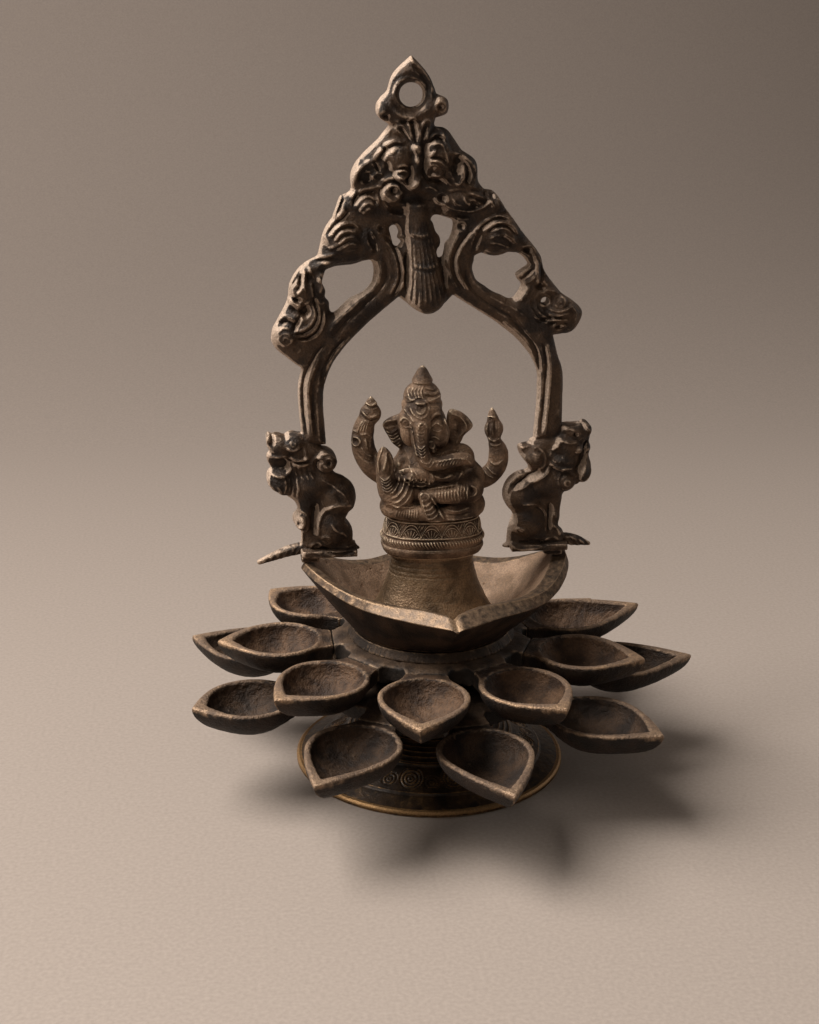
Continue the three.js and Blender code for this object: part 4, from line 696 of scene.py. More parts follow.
class Carving:
    """A flat board in the XZ plane whose outline, thickness and chased lines are drawn on a grid."""

    FAR = 60.0
    SLAB_EDGE = 0.8

    def __init__(self, low: Sequence[float], high: Sequence[float], step: float) -> None:
        """Lays out the grid between two corners.

        Args:
            low: Lowest corner in mm.
            high: Highest corner in mm.
            step: Spacing in mm.
        """
        self.low = np.array(low, float)
        self.step = step
        self.size = np.ceil((np.array(high) - low) / step).astype(int) + 1
        self.x = (low[0] + step * np.arange(self.size[0]))[:, None]
        self.z = (low[1] + step * np.arange(self.size[1]))[None, :]
        self.edge = np.full(self.size, self.FAR, np.float32)
        self.half = np.zeros(self.size, np.float32)
        self.relief = np.zeros(self.size, np.float32)

    def window(self, points: Any, margin: float) -> tuple[Any, np.ndarray, np.ndarray]:
        """Returns the slices, x and z of the part of the grid near the points.

        Args:
            points: Rows of x and z, or one place.
            margin: Reach beyond them in mm.

        Returns:
            Slices, and the x and z of that part.
        """
        spots = np.atleast_2d(np.asarray(points, float))[:, :2]
        first = ((spots.min(0) - margin - self.low) / self.step).astype(int)
        last = ((spots.max(0) + margin - self.low) / self.step).astype(int) + 2
        first, last = np.clip(first, 0, self.size - 1), np.clip(last, 1, self.size)
        part = (slice(first[0], last[0]), slice(first[1], last[1]))
        return part, self.x[part[0]], self.z[:, part[1]]

    def shape_distance(self, points: np.ndarray, margin: float = 12) -> tuple[Any, np.ndarray]:
        """Returns slices and the distance to a closed outline, below 0 inside it.

        Args:
            points: The outline's points.
            margin: Reach beyond them in mm.

        Returns:
            Slices, and the distances in mm.
        """
        part, x, z = self.window(points, margin)
        best = np.full(np.broadcast(x, z).shape, 1e9)
        inside = np.zeros(best.shape, bool)
        for a, b in zip(points, np.roll(points, -1, 0)):
            np.minimum(best, from_line(x, z, a, b)[1], out=best)
            if a[1] != b[1]:
                crossed = x < a[0] + (z - a[1]) * (b[0] - a[0]) / (b[1] - a[1])
                inside ^= ((a[1] > z) != (b[1] > z)) & crossed
        return part, np.where(inside, -1, 1) * np.sqrt(best)

    def outline(self, points: np.ndarray) -> None:
        """Adds the inside of a closed outline to the board."""
        part, distance = self.shape_distance(points)
        self.edge[part] = np.minimum(self.edge[part], distance)

    def opening(self, points: np.ndarray) -> None:
        """Cuts the inside of a closed outline out of the board."""
        part, distance = self.shape_distance(points)
        self.edge[part] = np.maximum(self.edge[part], -distance)

    def drill(self, x: float, z: float, radius: float) -> None:
        """Cuts a round hole."""
        self.edge = np.maximum(self.edge, radius - np.hypot(self.x - x, self.z - z))

    def pillow(self, half: float, width: float) -> None:
        """Gives the board a thickness that rounds off over width at its edges."""
        self.half = (half * round_edge(np.clip(-self.edge / width, 0, 1))).astype(np.float32)

    def slab(self, x: tuple[float, float], z: tuple[float, float], half: float) -> None:
        """Adds a rectangular block of the given half thickness.

        Args:
            x: Its left and right.
            z: Its bottom and top.
            half: Half its thickness.
        """
        wide = np.abs(self.x - sum(x) / 2) - (x[1] - x[0]) / 2
        high = np.abs(self.z - sum(z) / 2) - (z[1] - z[0]) / 2
        distance = np.maximum(wide, high)
        self.edge = np.minimum(self.edge, distance)
        thick = half + self.SLAB_EDGE * (round_edge(np.clip(-distance / self.SLAB_EDGE, 0, 1)) - 1)
        self.half = np.where(distance < 0, np.maximum(self.half, thick), self.half)

    def oval(self, row: Sequence[float], grow: float, margin: float) -> tuple[Any, np.ndarray]:
        """Reads x, z, two half widths, a height and a turn in degrees as a mound.

        Args:
            row: The six numbers.
            grow: Factor on the half widths.
            margin: How far beyond the middle the grid is read.

        Returns:
            Slices, and a field that is 1 in the middle and 0 from the edge on.
        """
        x, z, wide, high, _, tilt = row
        part, gx, gz = self.window((x, z), margin)
        c, s = math.cos(math.radians(tilt)), math.sin(math.radians(tilt))
        u = (c * (gx - x) + s * (gz - z)) / (wide * grow)
        v = (c * (gz - z) - s * (gx - x)) / (high * grow)
        return part, np.maximum(1 - u * u - v * v, 0)

    def dome(self, row: Sequence[float]) -> None:
        """Swells the board to an oval dome."""
        part, mound = self.oval(row, 1.0, max(row[2:4]) + 2)
        self.half[part] = smooth_max(self.half[part], row[4] * np.sqrt(mound), 1.0)

    def hollow(self, row: Sequence[float]) -> None:
        """Presses an oval hollow into the board."""
        part, mound = self.oval(row, 1.25, max(row[2:4]) * 1.3)
        self.relief[part] -= row[4] * mound**1.2

    def soften(self) -> None:
        """Rounds the chased lines off, as sand casting does."""
        r = self.relief
        r[1:-1] = (r[:-2] + 2 * r[1:-1] + r[2:]) / 4
        r[:, 1:-1] = (r[:, :-2] + 2 * r[:, 1:-1] + r[:, 2:]) / 4

    def along(self, points: np.ndarray, width: float) -> tuple[Any, np.ndarray, np.ndarray, np.ndarray]:
        """Returns slices, distance to a line, share of the way along it, and its radius there.

        Args:
            points: Rows of x, z and perhaps radius.
            width: Reach beyond them in mm.

        Returns:
            Slices, distances, shares from 0 to 1, and radii.
        """
        part, x, z = self.window(points, width)
        best = np.full(np.broadcast(x, z).shape, 1e9)
        radius, share = np.zeros(best.shape), np.zeros(best.shape)
        for i, (a, b) in enumerate(zip(points[:-1], points[1:])):
            t, distance = from_line(x, z, a, b)
            nearer = distance < best
            best = np.where(nearer, distance, best)
            share = np.where(nearer, (i + t) / (len(points) - 1), share)
            if points.shape[1] > 2:
                radius = np.where(nearer, a[2] + t * (b[2] - a[2]), radius)
        return part, np.sqrt(best), share, radius

    def roll(self, points: np.ndarray, lift: float, grow: bool = False) -> None:
        """Lays a round roll along x, z and radius points, on top of lift.

        Args:
            points: Rows of x, z and radius.
            lift: Height that it lies on in mm.
            grow: Whether it also widens the board.
        """
        part, distance, _, radius = self.along(points, points[:, 2].max() + 2)
        over = lift + np.sqrt(np.maximum(radius**2 - distance**2, 0))
        self.half[part] = smooth_max(self.half[part], np.where(distance < radius, over, 0), 1.0)
        if grow:
            self.edge[part] = np.minimum(self.edge[part], distance - radius)

    def stroke(self, points: np.ndarray, width: float, height: float) -> None:
        """Chases a ridge, or a groove where height is negative, that fades at its ends.

        Args:
            points: Rows of x and z.
            width: Half its width in mm.
            height: Its height in mm.
        """
        part, distance, share, _ = self.along(points, width)
        fade = np.minimum(1, np.minimum(share, 1 - share) * 4 + 0.5)
        self.relief[part] += height * fade * np.maximum(1 - (distance / width) ** 2, 0) ** 2

    def ring(self, x: float, z: float, radius: float, width: float, height: float) -> None:
        """Chases a round ridge or groove.

        Args:
            x: Its middle across.
            z: Its middle up.
            radius: Its radius in mm.
            width: Half the line's width in mm.
            height: The line's height in mm.
        """
        part, gx, gz = self.window((x, z), radius + width)
        distance = np.abs(np.hypot(gx - x, gz - z) - radius)
        self.relief[part] += 0.7 * height * np.maximum(1 - (distance / width) ** 2, 0) ** 2

    def chase(self, strokes: Table, fans: Table, rings: Table) -> None:
        """Chases the lines, fans and rings of three tables, the finer grooves deepest.

        Args:
            strokes: Rows of width, height and points.
            fans: Fans of such rows.
            rings: Rows of x, z, radius, width and height.
        """
        lines = [(width, height, walk(flat)) for width, height, *flat in strokes]
        for width, height, points in lines + fanned(fans):
            cut = height * (1.5 if -2 < height < 0 else 1.25)
            self.stroke(curve(points) if len(points) > 2 else points, width * 1.12, cut)
        for row in rings:
            self.ring(*row)


class Clay:
    """A block of modelling clay: a grid of distances that masses are added to and cut from."""

    # Distances are kept up to this, and masses reach this far beyond their size
    CAP = 3.0
    MARGIN = 2.5
    PLATE_EDGE = 1.4

    def __init__(self, low: Sequence[float], high: Sequence[float], step: float) -> None:
        """Lays out an empty grid between two corners.

        Args:
            low: Lowest corner in mm.
            high: Highest corner in mm.
            step: Spacing in mm.
        """
        self.low = np.array(low, float)
        self.step = step
        self.size = np.ceil((np.array(high) - low) / step).astype(int) + 1
        self.body = np.full(self.size, self.CAP, np.float32)
        self.axes = [self.low[i] + step * np.arange(self.size[i]) for i in range(3)]

    def spread(self, part: Sequence[slice]) -> list[np.ndarray]:
        """Returns the coordinates of a part of the grid, ready to combine."""
        return [self.axes[i][part[i]].reshape([-1 if j == i else 1 for j in range(3)]) for i in range(3)]

    def window(self, low: np.ndarray, high: np.ndarray) -> tuple[Any, list[np.ndarray]]:
        """Returns the slices and coordinates of the part of the grid between two corners.

        Args:
            low: Lowest corner in mm.
            high: Highest corner in mm.

        Returns:
            Slices, and the x, y and z of that part.
        """
        first = np.clip(((low - self.MARGIN - self.low) / self.step).astype(int), 0, self.size - 1)
        last = np.clip(((high + self.MARGIN - self.low) / self.step).astype(int) + 2, 1, self.size)
        part = tuple(slice(a, b) for a, b in zip(first, last))
        return part, self.spread(part)

    def grid(self) -> list[np.ndarray]:
        """Returns the whole grid's coordinates."""
        return self.spread([slice(None)] * 3)

    def spots(self) -> np.ndarray:
        """Returns the place of every point of the grid."""
        return np.stack(np.broadcast_arrays(*self.grid()), -1)

    def add(self, part: Any, distance: np.ndarray, blend: float) -> None:
        """Joins a mass to the clay with a fillet."""
        self.body[part] = smooth_min(self.body[part], distance.astype(np.float32), blend)

    def ball(self, centre: Sequence[float], radii: Sequence[float], blend: float = 1.2) -> None:
        """Adds an ellipsoid.

        Args:
            centre: Its middle.
            radii: Its three half widths.
            blend: Size of the fillet in mm.
        """
        c, r = np.array(centre, float), np.array(radii, float)
        part, (x, y, z) = self.window(c - r.max(), c + r.max())
        x, y, z = x - c[0], y - c[1], z - c[2]
        k = np.sqrt((x / r[0]) ** 2 + (y / r[1]) ** 2 + (z / r[2]) ** 2)
        g = np.sqrt((x / r[0] ** 2) ** 2 + (y / r[1] ** 2) ** 2 + (z / r[2] ** 2) ** 2) + 1e-6
        self.add(part, np.clip(k * (k - 1) / g, -self.CAP, self.CAP), blend)

    def limb(self, knots: Sequence[Sequence[float]], blend: float = 1.2, flat: float = 1.0) -> None:
        """Adds a limb through x, y, z and radius points, flattened front to back by flat.

        Args:
            knots: Rows of x, y, z and radius.
            blend: Size of the fillet in mm.
            flat: Its depth as a share of its width.
        """
        line = curve(knots, 4) if len(knots) > 2 else np.array(knots, float)
        reach = line[:, 3].max()
        part, (x, y, z) = self.window(line[:, :3].min(0) - reach, line[:, :3].max(0) + reach)
        best = np.full(np.broadcast(x, y, z).shape, self.CAP)
        for a, b in zip(line[:-1], line[1:]):
            e = b[:3] - a[:3]
            along = (x - a[0]) * e[0] + (y - a[1]) * e[1] + (z - a[2]) * e[2]
            t = np.clip(along / max(e @ e, 1e-9), 0, 1)
            side = ((y - a[1] - t * e[1]) / flat) ** 2
            away = np.sqrt((x - a[0] - t * e[0]) ** 2 + side + (z - a[2] - t * e[2]) ** 2)
            np.minimum(best, away - (a[3] + t * (b[3] - a[3])), out=best)
        self.add(part, best, blend)

    def plate(self, points: np.ndarray, y: float, thick: float, blend: float = 1.0) -> None:
        """Adds an upright plate with a round edge, from its outline in x and z.

        Args:
            points: Rows of x and z.
            y: Its middle front to back.
            thick: Its thickness.
            blend: Size of the fillet in mm.
        """
        part, distance = self.board().shape_distance(points, 4)
        wide = distance[:, None, :] + self.PLATE_EDGE
        deep = np.abs(self.axes[1][None, :, None] - y) - thick / 2 + self.PLATE_EDGE
        outer = np.hypot(np.maximum(wide, 0), np.maximum(deep, 0))
        whole = outer + np.minimum(np.maximum(wide, deep), 0) - self.PLATE_EDGE
        self.add((part[0], slice(None), part[1]), np.clip(whole, -self.CAP, self.CAP), blend)

    def turned(self, x: float, y: float, profile: Sequence[Sequence[float]], blend: float) -> None:
        """Adds a turned mass about an upright axis, from radius and height points.

        Args:
            x: The axis across.
            y: The axis front to back.
            profile: Rows of radius and height.
            blend: Size of the fillet in mm.
        """
        p = np.array(profile, float)
        reach = p[:, 0].max()
        low, high = (x - reach, y - reach, p[0, 1]), (x + reach, y + reach, p[-1, 1])
        part, (gx, gy, gz) = self.window(np.array(low), np.array(high))
        out = np.hypot(gx - x, gy - y) - np.interp(gz, p[:, 1], p[:, 0])
        self.add(part, np.maximum(out, np.maximum(p[0, 1] - gz, gz - p[-1, 1])), blend)

    def board(self) -> Carving:
        """Returns a flat board on the same x and z grid."""
        high = self.low + self.step * (self.size - 1.01)
        return Carving((self.low[0], self.low[2]), (high[0], high[2]), self.step)

    def press(self, relief: np.ndarray) -> None:
        """Presses an XZ relief into the faces that look to the front."""
        facing = np.clip(-1.4 * np.gradient(self.body, self.step, axis=1), 0, 1)
        self.body -= (relief[:, None, :] * facing).astype(np.float32)

    def skin(self, body: np.ndarray) -> Skin:
        """Returns the surface of a body given as distances on the clay's grid."""
        return net(body.astype(np.float32), self.low, [self.step] * 3)


# Finishes


def linear(code: str, alpha: bool = True) -> tuple[float, ...]:
    """Turns an sRGB hex value such as "#aabbcc" into linear colour, with alpha 1 where asked.

    Args:
        code: The sRGB value.
        alpha: Whether alpha is added.

    Returns:
        Red, green and blue, and alpha.
    """
    parts = [int(code[i : i + 2], 16) / 255 for i in (1, 3, 5)]
    light = [c / 12.92 if c <= 0.04045 else ((c + 0.055) / 1.055) ** 2.4 for c in parts]
    return (*light, 1.0) if alpha else tuple(light)


def node(tree: bpy.types.NodeTree, kind: str, inputs: Any = (), out: Any = 0, **settings: Any) -> Any:
    """Adds a shader node.

    Args:
        tree: The material's node tree.
        kind: The node's type without "ShaderNode".
        inputs: Values, or the sockets that feed them, in the order of the node's inputs or by name.
        out: Number or name of the output that is wanted.
        **settings: The node's own properties.

    Returns:
        That output, or None for a node that has none.
    """
    made = tree.nodes.new("ShaderNode" + kind)
    for name, value in settings.items():
        setattr(made, name, value)
    for key, value in inputs.items() if isinstance(inputs, dict) else enumerate(inputs):
        if isinstance(value, bpy.types.NodeSocket):
            tree.links.new(value, made.inputs[key])
        else:
            made.inputs[key].default_value = value
    return made.outputs[out] if len(made.outputs) else None


def blank(name: str) -> bpy.types.Material:
    """Returns a new material without nodes.

    Args:
        name: The material's name.

    Returns:
        The material.
    """
    made = bpy.data.materials.new(name)
    made.use_nodes = True
    made.node_tree.nodes.clear()
    return made


@dataclass(frozen=True)
class CastBronze:
    """Sand-cast bell metal, brown with age, rubbed bright on its edges and dusty in its hollows; where a
    finish's dust colour is dark, its hollows are painted shade, and some rubbed and filed marks are painted
    highlights and painted light.

    The eye gets a dark, dull brown that turns pale and warmer wherever hands and cloths reach.
    """

    name: str
    # Brown oxide in the shade of the casting, and where it is thinner
    deep: str = "#231a14"
    brown: str = "#4a392d"
    # Bare alloy on rubbed edges, also used as painted highlights on the bowl's left arris and the pedestal's
    # front left
    rubbed_and_highlight: str = "#a48a70"
    # Old polish and dust that settles in hollows, and painted shade in the hollows where this colour is
    # darker than the brown
    dust_and_shade: str = "#6f5b4d"
    # Dry, pinkish skin of the insides that hold oil, and its stains
    lining: str = "#80695a"
    stain: str = "#4f3e33"
    # Filed rims, dull and pinkish, also used as painted light on the arch's left-facing sides and the bowl's
    # left facet
    filed_and_lit: str = "#8f7a6a"
    # Typical of oxidised bronze: satin, a sharper gleam where it is rubbed, duller under dust and painted
    # shade
    roughness: float = 0.64
    rubbed_roughness: float = 0.5
    dusty_and_shaded_roughness: float = 0.72
    # How much of metal shows through the oxide, and on the rubbed edges
    metal: tuple[float, float] = (0.15, 0.65)
    # Casting sand about 0.4 mm across, drawn at 0.8 mm so that it shows
    sand: float = 0.8
    sand_depth: float = 0.09
    # Clouds in the patina and flecks in the wear, in mm
    cloud: float = 9.0
    fleck: float = 2.6

    def material(self) -> bpy.types.Material:
        """Returns a material that reads the vertex values for wear and painted highlights, dust and painted
        shade, lining, and filing and painted light.

        Returns:
            The material.
        """
        made = blank(self.name)
        add = partial(node, made.node_tree)
        place = add("TexCoord", out="Object")
        cloud, sand, fleck = (
            add("TexNoise", {"Vector": place, "Scale": 1000 / size, "Detail": detail})
            for size, detail in ((self.cloud, 6.0), (self.sand, 3.0), (self.fleck, 5.0))
        )
        patchy = add("Math", (fleck, 0.5), operation="SUBTRACT")
        patchy = add("Math", (patchy, 0.9), operation="MULTIPLY")
        lined = add("Attribute", out="Fac", attribute_name="lined")
        marks = []
        # Name, how much the flecks break it up, and where it starts and is full
        kinds = ("worn_and_highlight", 1.0, 0.22, 0.8), ("dusty_and_shaded", 1.0, 0.3, 0.9), ("filed_and_lit", 0.6, 0.3, 0.6)
        for name, share, low, high in kinds:
            value = add("Attribute", out="Fac", attribute_name=name)
            flecked = add("Math", (patchy, share, value), operation="MULTIPLY_ADD")
            marks.append(add("MapRange", (flecked, low, high), **SMOOTH))
        worn_and_highlight, dusty_and_shaded, filed_and_lit = marks
        # The clouded brown and lining, then dust and painted shade, lining, filed metal and painted light,
        # and rubbed metal and painted highlights over one another
        clouded = []
        for low, a, b in ((0.36, self.deep, self.brown), (0.34, self.stain, self.lining)):
            share = add("MapRange", (cloud, low, 1 - low), **SMOOTH)
            clouded.append(add("Mix", {0: share, 6: linear(a), 7: linear(b)}, 2, **COLOUR))
        skin, inside = clouded
        dusted_and_shaded = add("Math", (dusty_and_shaded, 0.75), operation="MULTIPLY")
        oiled = add("Math", (lined, 0.85), operation="MULTIPLY")
        coats = linear(self.dust_and_shade), inside, linear(self.filed_and_lit), linear(self.rubbed_and_highlight)
        for share, coat in zip((dusted_and_shaded, oiled, filed_and_lit, worn_and_highlight), coats):
            skin = add("Mix", {0: share, 6: skin, 7: coat}, 2, **COLOUR)
        speck = add("MapRange", (sand, 0.34, 0.66, 0.72, 1.1), **SMOOTH)
        skin = add("Mix", {0: 1.0, 6: skin, 7: speck}, 2, blend_type="MULTIPLY", **COLOUR)
        # Dust, painted shade and oil dull the metal, except where it is rubbed
        dusted_and_shaded = add("Math", (dusty_and_shaded, 0.7), operation="MULTIPLY")
        oiled = add("Math", (lined, 0.8), operation="MULTIPLY")
        dull = add("Math", (dusted_and_shaded, oiled), operation="MAXIMUM")
        covered = add("Math", (1.0, worn_and_highlight), operation="SUBTRACT")
        dull = add("Math", (dull, covered), operation="MULTIPLY")
        bare = add("Math", (worn_and_highlight, dull), operation="SUBTRACT")
        metallic = add("MapRange", (bare, -0.2, 0.8, *self.metal), **SMOOTH)
        gritty = add("MapRange", (sand, 0.3, 0.7, -0.06, 0.06), **SMOOTH)
        rough = add("MapRange", (dull, 0.0, 1.0, self.roughness, self.dusty_and_shaded_roughness), **SMOOTH)
        polish = add("MapRange", (worn_and_highlight, 0.0, 1.0, 0.0, self.roughness - self.rubbed_roughness), **SMOOTH)
        rough = add("Math", (rough, gritty), operation="ADD")
        rough = add("Math", (rough, polish), operation="SUBTRACT")
        grain = add("Math", (fleck, 0.8, sand), operation="MULTIPLY_ADD")
        bump = add("Bump", {"Height": grain, "Distance": self.sand_depth * MM * 5, "Strength": 0.8})
        looks = {"Base Color": skin, "Metallic": metallic, "Roughness": rough, "Normal": bump}
        add("OutputMaterial", {"Surface": add("BsdfPrincipled", looks)})
        return made


# Its dark dust colour is painted shade in the arch's hollows
ARCH_BRONZE = CastBronze(
    "cast_bronze_carved_arch", deep="#261a12", brown="#54402f", rubbed_and_highlight="#b8a18c", dust_and_shade="#261b13",
    filed_and_lit="#b8a391", sand_depth=0.15,
)
# Its dark dust colour is painted shade in the figure's hollows
FIGURE_BRONZE = CastBronze(
    "cast_bronze_figure", deep="#443225", brown="#927760", rubbed_and_highlight="#d8c2a8", dust_and_shade="#33251a", sand_depth=0.12
)
UPPER_CUP_BRONZE = CastBronze(
    "cast_bronze_upper_cups", deep="#180f09", brown="#35261a", sand_depth=0.16, lining="#6d523c",
    stain="#382619", dust_and_shade="#3b2e25", filed_and_lit="#745f4e", rubbed_and_highlight="#b5977a",
)
# A darker copy of the upper cups' finish: painted shade where the upper tier shades the lower cups
SHADED_LOWER_CUP_BRONZE = CastBronze(
    "cast_bronze_lower_cups_painted_shade", deep="#150d08", brown="#2e2016", sand_depth=0.16, lining="#483423",
    stain="#23160c", dust_and_shade="#2c221b", filed_and_lit="#645142", rubbed_and_highlight="#a88e76",
)
# Its near-black dust colour is painted shade on the hub's sides and in the hollows of the spacer and collar
HUB_BRONZE = CastBronze(
    "cast_bronze_hub", deep="#281c13", brown="#503f31", dust_and_shade="#0d0a08", lining="#7f6650", stain="#513f31"
)
BOWL_BRONZE = CastBronze(
    "cast_bronze_oil_bowl", deep="#221710", brown="#463426", rubbed_and_highlight="#9c8268", lining="#b0937a",
    stain="#8f745c", filed_and_lit="#8a7767", sand_depth=0.06,
)
FOOT_BRONZE = CastBronze(
    "turned_bronze_foot", brown="#4b3826", rubbed_and_highlight="#a8845a", sand_depth=0.03, roughness=0.42
)
WORN_BRASS = CastBronze(
    "rubbed_brass_pedestal", deep="#5a4936", brown="#8e765b", dust_and_shade="#9c846a", roughness=0.42
)
STEEL = CastBronze("mild_steel_rod", deep="#2b2724", brown="#57504a", rubbed_and_highlight="#9c958c", dust_and_shade="#6f5b48")


@dataclass
class Workshop:
    """Turns surfaces into dressed objects that ride on the part's bodies."""

    finishes: dict[str, bpy.types.Material] = field(default_factory=dict)
    # Heights in mm at which a fine and a broad edge counts as fully exposed
    fine: float = 0.11
    broad: float = 0.5

    def material(self, finish: CastBronze) -> bpy.types.Material:
        """Returns a finish's material, made once.

        Args:
            finish: The finish.

        Returns:
            Its material.
        """
        if finish.name not in self.finishes:
            self.finishes[finish.name] = finish.material()
        return self.finishes[finish.name]

    def wear(self, skin: Skin, strength: float) -> None:
        """Adds the values for wear from the surface's own edges, and for dust from its hollows, which is
        painted shade where a finish's dust colour is dark.

        Args:
            skin: The surface.
            strength: How strongly its edges are rubbed.
        """
        fine, broad = skin.height_over_blur((4, 26))
        fine, broad = fine / self.fine, broad / self.broad
        patch = GRIT.at(skin.points, 7.0) * 0.12
        up = np.clip(skin.normals()[:, 2], -1, 1) * 0.08
        edge = np.clip(fine, 0, 1.3) * 0.5 + np.clip(broad, 0, 1.3) * 0.45
        hollow = np.clip(-fine, 0, 1.3) * 0.4 + np.clip(-broad, 0, 1.3) * 0.5
        # Hollows get the dust mark, painted shade in finishes whose dust colour is dark
        for name, value in (("worn_and_highlight", edge * strength + patch + up), ("dusty_and_shaded", hollow + patch)):
            skin.mark(name, np.maximum(np.clip(value, 0, 1), skin.marks.get(name, np.zeros(1))))

    def place(
        self, name: str, skin: Skin, finish: CastBronze, body: Body, slot: Slot, nodes: Sequence[str],
        wear: float = 1.0,
    ) -> None:
        """Makes one dressed piece.

        Args:
            name: The piece's name.
            skin: Its surface in mm.
            finish: Its finish.
            body: The body that it rides on.
            slot: The record's slot of its finish; not used.
            nodes: The part's nodes that it stands for.
            wear: How strongly its edges are rubbed.
        """
        self.wear(skin, wear)
        mesh = bpy.data.meshes.new(name)
        mesh.vertices.add(len(skin.points))
        mesh.vertices.foreach_set("co", (skin.points * MM).astype(np.float32).ravel())
        mesh.loops.add(skin.quads.size)
        mesh.loops.foreach_set("vertex_index", skin.quads.astype(np.int32).ravel())
        mesh.polygons.add(len(skin.quads))
        mesh.polygons.foreach_set("loop_start", np.arange(0, skin.quads.size, 4, dtype=np.int32))
        mesh.update(calc_edges=True)
        mesh.validate()
        mesh.shade_smooth()
        for mark in ("worn_and_highlight", "dusty_and_shaded", "lined", "filed_and_lit"):
            values = skin.marks.get(mark, np.zeros(len(skin.points)))
            layer = mesh.attributes.new(mark, "FLOAT", "POINT")
            if len(mesh.vertices) == len(values):
                layer.data.foreach_set("value", values.astype(np.float32))
        mesh.materials.append(self.material(finish))
        made = bpy.data.objects.new(name, mesh)
        bpy.context.scene.collection.objects.link(made)
        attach(made, body.value)
        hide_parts(*nodes)
        log.info("%s: %d faces on %s", name, len(skin.quads), body.value)


# Turned pieces


def lathe(profile: np.ndarray, columns: int) -> tuple[np.ndarray, np.ndarray, np.ndarray]:
    """Spins a closed profile about the rod.

    Args:
        profile: Radius and height of each row, in mm.
        columns: Number of columns.

    Returns:
        The grid of points, its angles, and the outward direction of each row in radius and height.
    """
    angle = circle(columns)
    run = np.roll(profile, -1, 0) - np.roll(profile, 1, 0)
    out = np.stack([run[:, 1], -run[:, 0]], 1)
    out /= np.maximum(np.linalg.norm(out, axis=1, keepdims=True), 1e-9)
    return spun(profile[:, :1], angle, profile[:, 1:]), angle, out


def dense(profile: Sequence[Sequence[float]], spacing: float) -> np.ndarray:
    """Fills a closed profile with rows no further apart than spacing.

    Args:
        profile: Rows of radius and height, the last like the first.
        spacing: Spacing in mm.

    Returns:
        The rows without the last.
    """
    points = np.array(profile, float)
    parts = []
    for a, b in zip(points[:-1], points[1:]):
        count = max(1, int(np.ceil(np.linalg.norm(b - a) / spacing)))
        parts.append(a + (b - a) * (np.arange(count) / count)[:, None])
    return np.vstack(parts)


def pushed(grid: np.ndarray, angle: np.ndarray, out: np.ndarray, depth: np.ndarray) -> Skin:
    """Returns a lathe's grid as a surface, moved outwards along its profile's direction by depth in mm."""
    moved = grid + spun(depth * out[:, :1], angle, depth * out[:, 1:])
    return grid_skin(moved, along=True)


